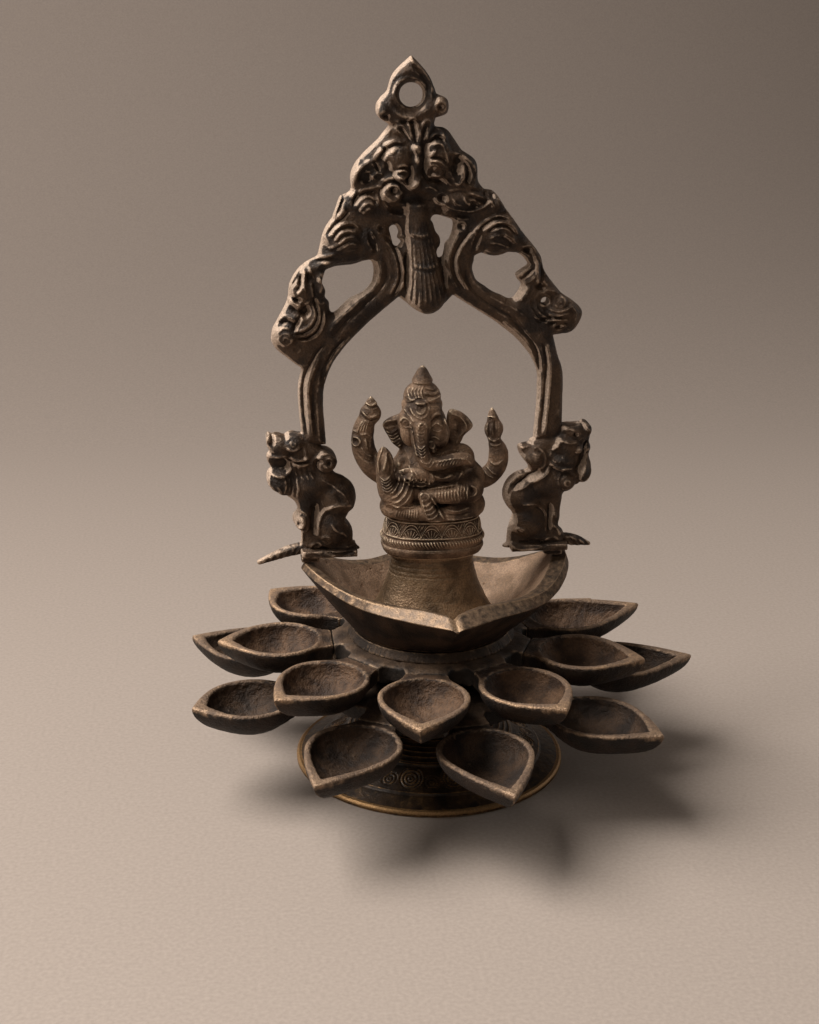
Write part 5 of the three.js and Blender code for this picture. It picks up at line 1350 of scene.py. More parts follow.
@dataclass
class Foot:
    """Turned foot: bright lip, plain sloping band, a band of nested whorls, and turned rings."""

    radius: float = 60.0
    height: float = 19.3
    lip_height: float = 1.6
    band_radius: float = 50.0
    band_height: float = 5.2
    ring_radius: float = 37.0
    ring_height: float = 12.2
    top_radius: float = 26.0
    web_top: float = 14.3
    wall: float = 3.2
    whorls: int = 15
    whorl_depth: float = 0.42
    # Spacing of a whorl's arcs, of the turned rings and of the tool's marks
    arc_pitch: float = 1.55
    ring_pitch: float = 2.3
    tool_pitch: float = 0.9
    spacing: float = 0.42
    columns: int = 900

    def profile(self) -> np.ndarray:
        """Returns the foot's closed section, from the ground inside up over the outside to the bore.

        Returns:
            Rows of radius and height.
        """
        foot, lip, wall = self.radius, self.lip_height, self.wall
        band, band_up, ring, ring_up = self.band_radius, self.band_height, self.ring_radius, self.ring_height
        top, high, web = self.top_radius, self.height, self.web_top
        outside = [
            (foot - wall, 0.0), (foot - 0.3, 0.0), (foot, 0.4), (foot, lip), (foot - 0.9, lip + 0.9),
            (foot - 2.0, lip + 0.8), (band + 0.4, band_up - 0.2), (band - 0.2, band_up + 0.7),
            (band - 1.4, band_up + 1.2), (ring + 0.6, ring_up - 0.3), (ring, ring_up + 0.7),
            (ring - 1.4, ring_up + 1.3), (ring - 5.5, ring_up + 3.8), (top + 1.2, high - 1.3),
            (top + 0.3, high - 0.2), (top - 0.8, high), (BORE, high), (BORE, web),
        ]
        under = [
            (top - 1, web), (top, web - 0.4), (ring, ring_up - wall), (band, band_up - wall),
            (foot - wall - 0.6, lip - 0.4), (foot - wall, 0.0),
        ]
        return dense(outside + under, self.spacing)

    def chased(self, grid: np.ndarray, angle: np.ndarray, profile: np.ndarray, out: np.ndarray) -> np.ndarray:
        """Returns the depth of the whorls, rings and tool marks over the grid.

        Args:
            grid: The foot's points.
            angle: Direction of each column.
            profile: Radius and height of each row.
            out: Outward direction of each row.

        Returns:
            Depths in mm.
        """
        radius = profile[:, :1]
        top = (out[:, 1:] > 0.3) & (profile[:, 1:] > 1)
        period = 2 * math.pi / self.whorls
        depth = np.zeros(grid.shape[:2])
        middle = (self.band_radius + self.ring_radius) / 2 - 0.4
        # Two rows of whorls, the second half a step on and nearer to the edge
        for shift, reach, outward, strength in ((0.0, 6.2, 0.0, 1.0), (0.5, 4.4, 1.6, 0.7)):
            side = ((angle / period + shift) % 1 - 0.5) * period * radius
            away = np.hypot(side, radius - middle - outward)
            arcs = np.maximum(np.cos(2 * math.pi * away / self.arc_pitch), 0)
            depth += arcs * step_up(reach - away, 0, 0.8) * strength
        band = step_up(radius, self.ring_radius + 1.4, self.ring_radius + 2.2)
        band = band * step_up(-radius, -self.band_radius + 2.0, -self.band_radius + 2.8)
        turned = step_up(-radius, -self.ring_radius - 0.5, -self.ring_radius + 1) * step_up(radius, 26.5, 28)
        rings = np.maximum(np.cos(2 * math.pi * (radius - 36) / self.ring_pitch), 0) ** 2 * 0.35
        tool = np.cos(2 * math.pi * radius / self.tool_pitch) * 0.03 + GRIT.rough(grid, (1.8, 0.06))
        return np.where(top, -self.whorl_depth * depth * band + rings * turned, 0) + tool

    def build(self, shop: Workshop) -> None:
        """Makes the foot.

        Args:
            shop: The workshop that dresses and places it.
        """
        profile = self.profile()
        grid, angle, out = lathe(profile, self.columns)
        skin = pushed(grid, angle, out, self.chased(grid, angle, profile, out))
        skin.points[:, 2] = np.maximum(skin.points[:, 2], 0)
        radius = np.hypot(skin.points[:, 0], skin.points[:, 1])
        lip = (radius > self.radius - 2.2) & (skin.points[:, 2] > 1.2)
        slope = step_up(radius, self.band_radius, self.band_radius + 2) * (skin.points[:, 2] > 1)
        skin.mark("worn_and_highlight", np.where(lip, 0.85, slope * 0.25))
        shop.place("dressed_foot", skin, FOOT_BRONZE, Body.STAND, Slot.FOOT, ["foot_base"])


@dataclass
class TurnedRing:
    """A turned, bored ring of the stack, from the heights and radii of its outside."""

    name: str
    node: str
    body: Body
    slot: Slot
    base: float
    outside: tuple[tuple[float, float], ...]
    finish: CastBronze = FOOT_BRONZE
    nicks: int = 0
    nick_depth: float = 0.55
    spacing: float = 0.4

    def build(self, shop: Workshop) -> None:
        """Makes the ring with tool marks, and peened nicks where it has them.

        Args:
            shop: The workshop that dresses and places it.
        """
        top = self.outside[-1][1]
        section = [(BORE, 0.0), *self.outside, (BORE, top), (BORE, 0.0)]
        profile = dense(section, self.spacing) + (0, self.base)
        grid, angle, out = lathe(profile, 360)
        depth = GRIT.rough(grid, (2.2, 0.08))
        widest = profile[:, 0].max()
        outer = step_up(profile[:, :1], widest - 2.2, widest - 1.2)
        if self.nicks:
            wobble = GRIT.at(np.stack([angle * 9, angle * 0, angle * 0], 1), 1.0)
            teeth = np.maximum(np.cos(angle * self.nicks + 2.5 * wobble), 0) ** 6
            comb = teeth * (0.4 + 0.6 * np.abs(wobble))
            depth = depth - self.nick_depth * comb * outer
        skin = pushed(grid, angle, out, depth)
        if self.nicks:
            skin.mark("worn_and_highlight", np.repeat(outer.ravel(), len(angle)) * 0.12)
        shop.place(self.name, skin, self.finish, self.body, self.slot, [self.node], wear=0.45)


# Tiers of cups


@dataclass
class Tier:
    """One tier: a cast hub with nine arms, and a leaf-shaped wick cup on each."""

    name: str
    body: Body
    base: float
    hub_radius: float
    arm_end: float
    cup_radius: float
    width: float
    reach: float
    depth: float
    rim_drop: float
    first_cup: float
    reach_change: tuple[float, ...]
    place_change: tuple[float, ...]
    finish: CastBronze = SHADED_LOWER_CUP_BRONZE
    cups: int = 9
    thickness: float = 9.7
    edge_thickness: float = 7.0
    arm_width: float = 18.0
    arm_drop: float = 0.6
    wall: float = 2.7
    floor: float = 2.4
    root_width: float = 25.0
    grain: float = 0.55
    hub_grain: float = 0.6
    # How far a cup's sides bow from straight towards round
    bulge: float = 0.45
    rim_fillet: float = 1.7
    lip_fillet: float = 1.5
    root_fillet: float = 2.4

    @property
    def rim(self) -> float:
        """Height of the cups' rims."""
        return self.base + self.thickness + self.rim_drop

    def angle(self, i: int) -> float:
        """Returns the direction of a cup in radians from +X."""
        return math.radians(self.first_cup + 360 / self.cups * i + self.place_change[i] - 90)

    def leaf(self, x: np.ndarray, y: np.ndarray, radius: float, reach: float) -> np.ndarray:
        """Returns how far a leaf outline reaches in the direction of each point.

        Args:
            x: Places towards the tip.
            y: Places to the side.
            radius: Half the cup's width.
            reach: Distance to its tip.

        Returns:
            The outline's reach in mm.
        """
        tangent = math.acos(radius / reach)
        turn = np.abs(np.arctan2(y, x))
        straight = np.where(turn < tangent, radius / np.maximum(np.cos(tangent - turn), 0.2), radius)
        arc = (reach**2 + radius**2) / (2 * radius)
        side = (radius - arc) * np.sin(turn)
        bowed = side + np.sqrt(np.maximum(side**2 - (radius - arc) ** 2 + arc**2, 0))
        return straight + self.bulge * (np.where(turn < math.pi / 2, bowed, radius) - straight)

    def egg(self, place: Sequence[np.ndarray], radius: float, reach: float, deep: float) -> np.ndarray:
        """Returns the distance to a half egg under a leaf outline, below 0 inside.

        Args:
            place: The x, y and z of each point.
            radius: Half its width.
            reach: Distance to its tip.
            deep: Its depth.

        Returns:
            Distances in mm.
        """
        x, y, z = place[0], place[1], np.minimum(place[2], 0)
        far = self.leaf(x, y, radius, reach)
        flat = np.hypot(x, y)
        k = np.sqrt((flat / far) ** 2 + (z / deep) ** 2)
        slope = np.sqrt((flat / far**2) ** 2 + (z / deep**2) ** 2) + 1e-6
        return k * (k - 1) / slope

    def cup(self, i: int) -> Skin:
        """Makes one cup in its place.

        Args:
            i: The cup's number from 0.

        Returns:
            Its surface, with its rim marked filed and its inside marked lined.
        """
        radius, reach = self.width / 2, self.reach + self.reach_change[i]
        outer = (radius, reach, self.depth)
        inner = (radius - self.wall, reach - 2.6 * self.wall, self.depth - self.floor)
        low, high = (-radius - 9, -radius - 2, -self.depth - 2), (reach + 2, radius + 2, 2.2)
        clay = Clay(low, high, self.grain)
        x, y, z = clay.grid()
        own = (0, 40 * i, self.base)
        spots = clay.spots() + own
        rough = GRIT.rough(spots, (1.2, 0.3), (5, 0.16))
        start, end = self.arm_end + 0.3 - self.cup_radius, -0.55 * radius
        share = np.clip((x - start) / (end - start), 0, 1)
        side = np.abs(y) - (self.arm_width + (self.root_width - self.arm_width) * share) / 2
        plate = np.maximum(side, np.maximum(start - x, x - end - 3))
        plate = np.maximum(plate, np.maximum(-self.arm_drop - self.edge_thickness - z, z + self.arm_drop))
        whole = smooth_min(self.egg((x, y, z), *outer), plate, self.root_fillet)
        whole = smooth_max(whole + 0.3 * rough, z + 0.1 + GRIT.rough(spots, (9, 0.16)), self.rim_fillet)
        hollow = self.egg((x, y, z), *inner)
        skin = clay.skin(smooth_max(whole, -(hollow + rough), self.lip_fillet))
        px, py, pz = skin.points.T
        near = self.egg((px, py, pz), *inner)
        lined = (near < 0.5) & (pz < -0.9)
        root = step_up(-px, -end - 5, -end + 2) * step_up(pz, -2.5, -1.2) * (near > 0.4)
        skin.mark("lined", np.maximum(lined, root * 0.7))
        skin.mark("filed_and_lit", step_up(pz, -1.5, -0.7) * (px > end) * 0.8)
        arris = bell(self.egg((px, py, pz), *outer), -0.6, 0.6) * step_up(pz, -2.4, -1.0) * (px > end)
        arris = arris * np.clip(0.55 + 0.5 * GRIT.at(skin.points + own, 6), 0, 1)
        tip = step_up(px, 0.45 * reach, 0.95 * reach) * step_up(pz, -5, -0.5)
        skin.mark("worn_and_highlight", np.maximum(tip * 0.62 * (1 - lined), arris * 0.9))
        return skin.turned(self.angle(i), (self.cup_radius, 0, self.rim))

    def hub(self) -> Skin:
        """Makes the hub: a disc with a flat edge and nine arms, and slots between the arms.

        Returns:
            The surface in mm.
        """
        base, edge = self.base, self.hub_radius
        top, arm_top = base + self.thickness, self.rim - self.arm_drop
        arm_floor = arm_top - self.edge_thickness
        out = self.arm_end + 2
        clay = Clay((-out, -out, base - 1.5), (out, out, top + 1.5), self.hub_grain)
        x, y, z = clay.grid()
        far = np.hypot(x, y)
        lid = np.interp(far, [0, 35, edge], [top, top, arm_top])
        under = np.interp(far, [0, 0.55 * edge, edge], [base, base, arm_floor])
        disc = smooth_max(far - edge, np.maximum(z - lid, under - z), 1.2)
        arms = np.full(clay.size, 9.0)
        for i in range(self.cups):
            c, s = math.cos(self.angle(i)), math.sin(self.angle(i))
            along, side = c * x + s * y, np.abs(c * y - s * x)
            arm = np.maximum(side - self.arm_width / 2, np.maximum(along - self.arm_end, edge - 8 - along))
            arms = np.minimum(arms, arm)
        arms = smooth_max(arms, np.maximum(z - arm_top, arm_floor - z), 0.8)
        body = smooth_min(disc, arms, 3.5) + GRIT.rough(clay.spots(), (1.5, 0.1), (7, 0.2))
        skin = clay.skin(smooth_max(body, BORE - far, 0.4))
        spread = np.hypot(skin.points[:, 0], skin.points[:, 1])
        crown = step_up(spread, 30, 36) * step_up(-spread, -46, -40) * (skin.points[:, 2] > top - 2)
        # Flat upper faces take the paler lining tone, and faces that do not look up, outside the middle, take
        # the near-black dust colour as painted shade between the arms and cups
        flat = step_up(skin.normals()[:, 2], 0.35, 0.85)
        skin.mark("worn_and_highlight", crown * 0.1)
        skin.mark("lined", flat * 0.4)
        skin.mark("dusty_and_shaded", (1 - flat) * step_up(spread, 24, 30) * 1.6)
        return skin

    def build(self, shop: Workshop) -> None:
        """Makes the hub and its nine cups.

        Args:
            shop: The workshop that dresses and places it.
        """
        hub_node = f"{self.name}_tier_hub"
        hub_name = f"dressed_{self.name}_hub"
        shop.place(hub_name, self.hub(), HUB_BRONZE, self.body, Slot.CUPS, [hub_node], wear=0.3)
        for i in range(self.cups):
            name = f"{self.name}_cup_{i + 1}"
            shop.place("dressed_" + name, self.cup(i), self.finish, self.body, Slot.CUPS, [name], wear=0.4)


# Bowl, pedestal and seat


@dataclass
class OilBowl:
    """Four-cornered oil bowl with a filed rim and a V-shaped wick spout at the front."""

    base_radius: float = 34.0
    # Left, right, front and back reach of the rim
    spans: tuple[float, float, float, float] = (57.2, 61.2, 61.6, 53.0)
    side_height: float = 19.4
    corner_height: float = 30.9
    front_height: float = 20.8
    # The left corner rises gently, the right one steeply
    corner_powers: tuple[float, float] = (4.7, 13.0)
    # The rim leans: this much higher at the front, and lower at the back
    lean: float = 3.2
    twist: float = 2.4
    sharpness: float = 1.14
    shoulder: float = 0.42
    floor: float = 3.5
    floor_radius: float = 28.5
    # Width of the filed facet at the sides and the front, and of the bevel inside it with its drop
    facet_widths: tuple[float, float] = (1.4, 6.6)
    bevel_width: float = 4.3
    bevel_drop: float = 1.1
    spout_width: float = 5.0
    spout_depth: float = 1.5
    columns: int = 600

    def span(self, angle: np.ndarray) -> np.ndarray:
        """Returns the rim's distance from the rod in each direction.

        Args:
            angle: Directions from the rod in radians.

        Returns:
            The reach in mm.
        """
        left, right, front, back = self.spans
        side = np.abs(np.cos(angle)) / np.where(np.cos(angle) > 0, right, left)
        ahead = np.abs(np.sin(angle)) / np.where(np.sin(angle) > 0, back, front)
        power = self.sharpness + self.shoulder * np.abs(np.cos(angle)) ** 3
        return (side**power + ahead**power) ** (-1 / power)

    def rim_height(self, angle: np.ndarray) -> np.ndarray:
        """Returns the rim's height above the bowl's base in each direction.

        Args:
            angle: Directions from the rod in radians.

        Returns:
            The height in mm.
        """
        gentle, steep = self.corner_powers
        power = np.where(np.cos(angle) > 0, steep, gentle)
        rise = (self.corner_height - self.side_height) * np.abs(np.cos(angle)) ** power
        front = (self.front_height - self.side_height) * np.abs(np.sin(angle)) ** 6
        return self.side_height + rise + front - self.lean * np.sin(angle)

    def rows(self, angle: np.ndarray) -> list[tuple[Any, Any, str]]:
        """Returns radius, height and kind of each row, from under the base over the rim to the floor.

        Args:
            angle: Directions from the rod in radians.

        Returns:
            One entry for each row.
        """
        span, height = self.span(angle), self.rim_height(angle)
        front, right = np.clip(-np.sin(angle), 0, 1) ** 3, np.clip(np.cos(angle), 0, 1)
        drop = 2.6 + 1.6 * right + 0.8 * front
        facet = self.facet_widths[0] + (self.facet_widths[1] - self.facet_widths[0]) * front
        bevel = self.bevel_width + 2.2 * right * (1 - front)
        rows = [(BORE, 0, "base"), (0.5 * self.base_radius, 0, "base")]
        for share in np.linspace(0, 1, 44) ** 1.15:
            wide = self.base_radius + (span - self.base_radius) * share**0.9
            rows.append((wide, share * (height - drop), "outside"))
        for share in np.linspace(0.08, 1, 10):
            rows.append((span - facet * share, height - drop * (1 - share), "facet"))
        arris, inner = span - facet, span - facet - bevel
        for share in np.linspace(0.06, 1, 8):
            rows.append((arris - bevel * share, height - self.bevel_drop * share**1.5, "bevel"))
        for share in np.linspace(1, 0, 48)[1:] ** 0.9:
            wide = self.floor_radius + (inner - self.floor_radius) * share**0.9
            rows.append((wide, self.floor + (height - self.bevel_drop - self.floor) * share, "inside"))
        rows += [(self.floor_radius * share, self.floor, "inside") for share in (0.9, 0.7, 0.5, 0.3)]
        return [*rows, (BORE, self.floor, "inside"), (BORE, 1.5, "base")]

    def build(self, shop: Workshop) -> None:
        """Makes the bowl, its spout, file marks and casting pits.

        Args:
            shop: The workshop that dresses and places it.
        """
        angle = circle(self.columns)
        rows = self.rows(angle)
        radius, height = (np.array([row[i] + 0 * angle for row in rows]) for i in (0, 1))
        kinds = np.array([row[2] for row in rows])[:, None]
        facet, bevel, inside = (kinds == kind for kind in ("facet", "bevel", "inside"))
        grid = spun(radius, angle + math.radians(self.twist), BOWL_BASE + height)
        # The wick spout is a shallow groove straight out over the front of the rim
        side = np.abs(radius * np.cos(angle))
        rim = self.rim_height(angle)
        near_rim = step_up(height, rim - 4.5, rim - 3) * (np.sin(angle) < 0) * (facet | bevel | inside)
        grid[..., 2] -= self.spout_depth * np.clip(1 - 2 * side / self.spout_width, 0, 1) * near_rim
        stripe = grid[..., 0] * 0.8 + grid[..., 2] * 1.1 + grid[..., 1] * 0.25
        # The facet takes the filed colour more at the left front than at the right: filing, with painted
        # light on the lit left side
        ahead = np.clip(-np.sin(angle), 0, 1)
        left_front = ahead**1.5 * step_up(-np.cos(angle), -0.1, 0.05)
        right_front = ahead**3 * step_up(np.cos(angle), -0.1, 0.05)
        filed_and_lit = facet * (step_up(left_front, 0.5, 0.75) * 0.85 + 0.4 * right_front)
        filing = 0.18 * np.cos(2 * math.pi * stripe / 1.7) * np.abs(GRIT.rough(grid, (5, 1))) * filed_and_lit
        pits = np.maximum(GRIT.rough(grid, (1.5, 1)) - 0.7, 0) * 2.6 * inside
        swell = GRIT.rough(grid, (2.4, 0.07)) + GRIT.rough(grid, (11, 0.25)) * (filed_and_lit < 0.1)
        skin = grid_skin(grid, along=True)
        skin.raise_by(filing + swell - pits)
        skin.mark("lined", np.repeat(inside.ravel(), self.columns) * 1.0)
        skin.mark("filed_and_lit", filed_and_lit.ravel())
        # Bare brass at the wick's groove, and a painted highlight along the arris at the left, where the key
        # lamp's reflection falls
        spout = bell(side, 0, 2.4) * near_rim * ~inside * 0.85
        on_arris = (facet & (np.cumsum(facet)[:, None] >= 9)) | (np.cumsum(bevel)[:, None] == 1)
        left = step_up(-np.cos(angle), 0.35, 0.6) * (np.sin(angle) < 0.2)
        touched = bevel * 0.42 + facet * 0.46
        skin.mark("worn_and_highlight", np.maximum(np.maximum(spout, on_arris * left * 0.8), touched + 0 * spout).ravel())
        shop.place("dressed_oil_bowl", skin, BOWL_BRONZE, Body.HEAD, Slot.BOWL, ["oil_bowl"], wear=0.5)


@dataclass
class Pedestal:
    """Oval flared pedestal, hand-scraped, with a few turned lines under the seat."""

    height: float = 29.9
    foot_half_width: float = 29.5
    top_half_width: float = 18.2
    depth_share: float = 0.68
    flare_power: float = 2.0
    screw_depth: float = 18.3
    line_heights: tuple[float, ...] = (21.5, 23.4, 25.6, 28)
    line_depth: float = 0.28

    def build(self, shop: Workshop) -> None:
        """Makes the pedestal.

        Args:
            shop: The workshop that dresses and places it.
        """
        angle = circle(360)
        share = np.linspace(0, 1, 90)[:, None]
        flare = (self.foot_half_width - self.top_half_width) * (1 - share) ** self.flare_power
        lines = sum(bell(share * self.height, h, 0.35) for h in self.line_heights)
        far = self.top_half_width + flare - self.line_depth * lines
        wall = spun(far, angle, share * self.height + PEDESTAL_BASE, self.depth_share * far)
        wall += spun(GRIT.rough(wall, (2.2, 0.1), (8, 0.3)), angle, 0)
        top = [wall[-1] * (s, s, 1) for s in (0.97, 0.8, 0.5, 0.2, 0.01)]
        hole = [(0.05, self.screw_depth), (BORE, self.screw_depth), (BORE, 0)]
        under = [spun(r, angle, h + PEDESTAL_BASE) for r, h in hole] + [wall[0] * (0.97, 0.97, 1)]
        skin = grid_skin(np.stack([*under, *wall, *top]))
        # A bright patch on the front left, where the key lamp's reflection falls: painted highlight, over a
        # little even rubbing
        patch = bell(skin.points[:, 0], -14, 9) * bell(skin.points[:, 2], 80, 9)
        skin.mark("worn_and_highlight", patch * (skin.points[:, 1] < 0) * 0.55 + 0.12)
        shop.place("dressed_pedestal", skin, WORN_BRASS, Body.HEAD, Slot.WORN, ["figure_pedestal"])


@dataclass
class LotusSeat:
    """Oval seat: a plain roll, a rope moulding and an engraved band of lotus petals."""

    height: float = 18.2
    half_width: float = 22.5
    half_depth: float = 15.0
    fullness: float = 2.5
    petals: int = 13
    strands: int = 92
    rope_height: float = 7.2
    rope_width: float = 1.3
    # Turned lines: height up the seat and depth
    lines: Table = ((5.0, -0.5), (8.9, -0.5), (9.7, 0.3), (16.5, 0.45), (3.6, 0.15))
    # Share of the height, and reach there
    section: tuple[float, ...] = (
        0, 0.87, 0.03, 0.92, 0.08, 0.955, 0.16, 0.985, 0.24, 0.985, 0.32, 0.965, 0.36, 0.965, 0.42, 0.985,
        0.5, 0.955, 0.7, 0.92, 0.88, 0.885, 0.95, 0.87, 1, 0.82,
    )

    def outline(self, angle: np.ndarray) -> np.ndarray:
        """Returns the seat's reach in each direction.

        Args:
            angle: Directions from the rod in radians.

        Returns:
            The reach in mm.
        """
        x = np.abs(np.cos(angle)) / self.half_width
        y = np.abs(np.sin(angle)) / self.half_depth
        return (x**self.fullness + y**self.fullness) ** (-1 / self.fullness)

    def relief(self, high: np.ndarray, run: np.ndarray, length: float) -> np.ndarray:
        """Returns the depth of the petals, rope and lines.

        Args:
            high: Height up the seat in mm.
            run: Distance round the seat in mm.
            length: The whole way round in mm.

        Returns:
            Depth in mm at each point.
        """
        twist = np.cos(2 * math.pi * (run * self.strands / length + high * 0.35))
        depth = bell(high, self.rope_height, self.rope_width) * (0.3 + 0.4 * np.maximum(twist, -0.4))
        for at, tall in self.lines:
            depth = depth + tall * bell(high, at, 0.4)
        pitch = length / self.petals
        side = (run / pitch % 1 - 0.5) * pitch
        arch = 15.6 - 5.4 * (np.abs(side) / (pitch * 0.5)) ** 2.4
        band = step_up(high, 9.9, 10.3) * step_up(-high, -16.2, -15.8)
        inner = bell(high, arch - 1.5, 0.3) * (np.abs(side) < 0.38 * pitch)
        veins = np.maximum(np.cos(2 * math.pi * np.arctan2(side, high - 8.6) / 0.36), 0) ** 2
        below = step_up(arch - 1.9 - high, 0, 0.5)
        slants = np.maximum(np.cos(2 * math.pi * (side - 0.5 * high) / 1.3), 0)
        slants = slants * step_up(high - arch - 0.6, 0, 0.4)
        petal = 0.85 * bell(high, arch, 0.38) + 0.5 * inner + 0.45 * veins * below + 0.3 * slants - 0.4
        return depth + band * petal

    def build(self, shop: Workshop) -> None:
        """Makes the seat.

        Args:
            shop: The workshop that dresses and places it.
        """
        angle = circle(720)
        reach = self.outline(angle)
        edge = np.stack([reach * np.cos(angle), reach * np.sin(angle)], 1)
        steps = np.linalg.norm(np.roll(edge, -1, 0) - edge, axis=1)
        run = np.concatenate([[0], np.cumsum(steps)[:-1]])
        share = np.linspace(0, 1, 88)[:, None]
        far = np.interp(share, *pairs(self.section).T)
        wall = spun(far * reach, angle, SEAT_BASE + share * self.height)
        skin = grid_skin(wall)
        skin.raise_by(self.relief(share * self.height, run, steps.sum()))
        skin.points[:, 2] = np.clip(skin.points[:, 2], SEAT_BASE, SEAT_BASE + self.height)
        wall = skin.points.reshape(wall.shape)
        lid = [wall[-1] * (s, s, 1) for s in (0.96, 0.8, 0.5, 0.2, 0.01)]
        under = [wall[0] * (s, s, 1) for s in (0.01, 0.3, 0.7, 0.95)]
        skin = grid_skin(np.stack([*under, *wall, *lid]))
        skin.raise_by(GRIT.rough(skin.points, (1.7, 0.06)))
        nodes = ["figure_seat"]
        shop.place("dressed_lotus_seat", skin, FIGURE_BRONZE, Body.HEAD, Slot.FIGURE, nodes, wear=1.3)


# Figure and arch


@dataclass
class SeatedFigure:
    """Four-armed elephant-headed figure on the lotus seat, modelled in clay and chased."""

    grain: float = 0.36
    low: tuple[float, float, float] = (-42, -22, -2.2)
    high: tuple[float, float, float] = (38, 18, 67)

    def torso_and_legs(self, clay: Clay) -> None:
        """Adds the belly, chest, shoulders and folded legs.

        Args:
            clay: The clay that takes it.
        """
        clay.ball((0, 0.5, 4), (16.5, 11, 6.5))
        clay.ball((-2, -2.5, 14), (13, 10.6, 11.5))
        clay.ball((-2, 1, 24), (13.5, 8.4, 8))
        clay.ball((-3, -1, 20), (12, 9.6, 9))
        clay.ball((11.5, 0.6, 23), (6.4, 6, 6.2))
        left = (
            -11, 3, 5, 5.5, -18, -4, 4.4, 5.2, -17.5, -8.5, 3.2, 4.2, -8, -12.3, 2.4, 3.6, -1, -13, 1.8, 2.8,
        )
        right = (12, 3, 5, 5.5, 17, -4, 4.2, 5, 15, -9.5, 3, 4.3, 6, -13, 2.4, 3.8, 0, -14, 1.6, 2.6)
        for leg in (left, right):
            clay.limb(pairs(leg, 4))

    def head(self, clay: Clay) -> None:
        """Adds the head, trunk, ears and pointed crown.

        Args:
            clay: The clay that takes it.
        """
        clay.ball((-5.5, -2.5, 39.5), (10.4, 9.2, 9.8))
        clay.ball((-10.6, -7.4, 37), (4.6, 4.4, 6.2))
        clay.ball((0.6, -7.0, 36), (5.2, 4.8, 7.2))
        clay.ball((-5.5, -5, 46), (8.2, 6.4, 4.6))
        clay.ball((-12.6, -8.6, 42.6), (3.2, 2.4, 2.6))
        clay.ball((0.2, -8.8, 40.8), (3.6, 2.6, 3.0))
        trunk = (
            -7.2, -8.2, 46, 4.6, -7.4, -11.4, 40, 4.4, -7.4, -13, 34, 3.7, -6.9, -14, 29.6, 3.3,
            -4.6, -14.4, 25.8, 3.1, 0, -14.6, 25, 3, 6, -14.2, 26.2, 2.9, 11.5, -12.2, 26.2, 2.7,
            15, -10, 23.4, 2,
        )
        clay.limb(pairs(trunk, 4), 0.9)
        clay.limb([(-2.8, -10.2, 32.6, 1.7), (-1.4, -11.6, 30.2, 1.2)], 0.5)
        left = (-12, 42.4, -17.3, 42, -21.8, 38.7, -19.6, 33.4, -16.5, 29, -12.2, 27.2, -9.6, 34.6)
        right = (6.4, 44, 11.2, 43.4, 15.2, 40.2, 16.8, 36.7, 13.2, 33, 11.4, 29.6, 7.5, 28.9, 5.4, 36.2)
        for ear in (left, right):
            clay.plate(curve(pairs(ear), 4, True), 0.6, 3.4)
        crown = (
            8.2, 43.5, 8.7, 47, 8.6, 48.4, 7.9, 49.2, 7.9, 51.6, 7.2, 53.6, 6, 55.2, 4.4, 56.4,
            3.9, 56.9, 4.5, 57.3, 4.4, 58, 3.2, 60.2, 2, 62.4, 1, 63.6, 0.3, 64,
        )
        clay.turned(-5.3, -0.6, pairs(crown), 0.5)

    def arms(self, clay: Clay) -> None:
        """Adds the two raised arms and the two lower arms with what they hold.

        Args:
            clay: The clay that takes it.
        """
        left = (
            -10, 2, 23, 4.8, -18.5, 1.6, 15.8, 4.6, -25, 1, 19, 4.9, -29.2, 1, 25.6, 5, -30.4, 1, 32, 4.8,
            -29.6, 1, 38, 4.2, -27.4, 1, 42, 3.4,
        )
        clay.limb(pairs(left, 4))
        clay.ball((-27, 1, 43.2), (4.6, 4.2, 4.4))
        clay.ball((-32.8, -0.4, 31.6), (2.4, 2.6, 2.4), 0.6)
        clay.ball((-29.6, 0.6, 36.4), (3.8, 3.4, 4.4))
        bud = (3.2, 44.5, 3.4, 46.2, 2.6, 47, 2.7, 47.6, 1.6, 49.2, 0.4, 50.6)
        clay.turned(-26.8, 1, pairs(bud), 0.4)
        right = (
            8, 2, 22, 4.8, 16.5, 1.6, 13.6, 4.4, 23, 1.2, 13.6, 4.3, 27.6, 1, 18.4, 4.3, 28.4, 1, 24.4, 4.2,
            26.8, 1, 29.4, 2.9, 26.1, 1, 32, 2.6,
        )
        clay.limb(pairs(right, 4))
        clay.ball((26.1, 1, 35.2), (4.1, 3.6, 4.6))
        clay.limb([(25.9, 1, 38, 2.9), (25.3, 1, 41.4, 1.9), (25.1, 1, 44, 0.7)], 0.6)
        palm = (
            -12, -3, 22, 4.4, -13.2, -7.4, 13, 5.2, -15.4, -9, 8.6, 5.2, -19.2, -8.8, 10.4, 4.8,
            -21.2, -8.2, 15.4, 4.1, -21.7, -8, 20, 3.7,
        )
        clay.limb(pairs(palm, 4))
        fingers = (-21.8, -8, 20, 3.6, -21.8, -8.2, 24.6, 3.8, -22.2, -8, 28.2, 2.4, -22.6, -8, 30.6, 0.6)
        clay.limb(pairs(fingers, 4), 0.7)
        clay.limb([(10, 0, 22, 4.6), (16.2, -3.6, 16.6, 5.2), (15.2, -8.4, 13.8, 5.2)])
        sweets = (14.6, -9.4, 12.2, 5.7, 8, -12.2, 11.6, 5.1, 1, -13.6, 11.2, 4.0, -3.4, -14.4, 11.2, 2.9)
        clay.limb(pairs(sweets, 4), 0.8)
        clay.ball((-5.6, -14.6, 10.8), (2.7, 2.2, 2.7), 0.5)
        clay.ball((14.6, -11, 12.6), (5.4, 4.4, 5.7))

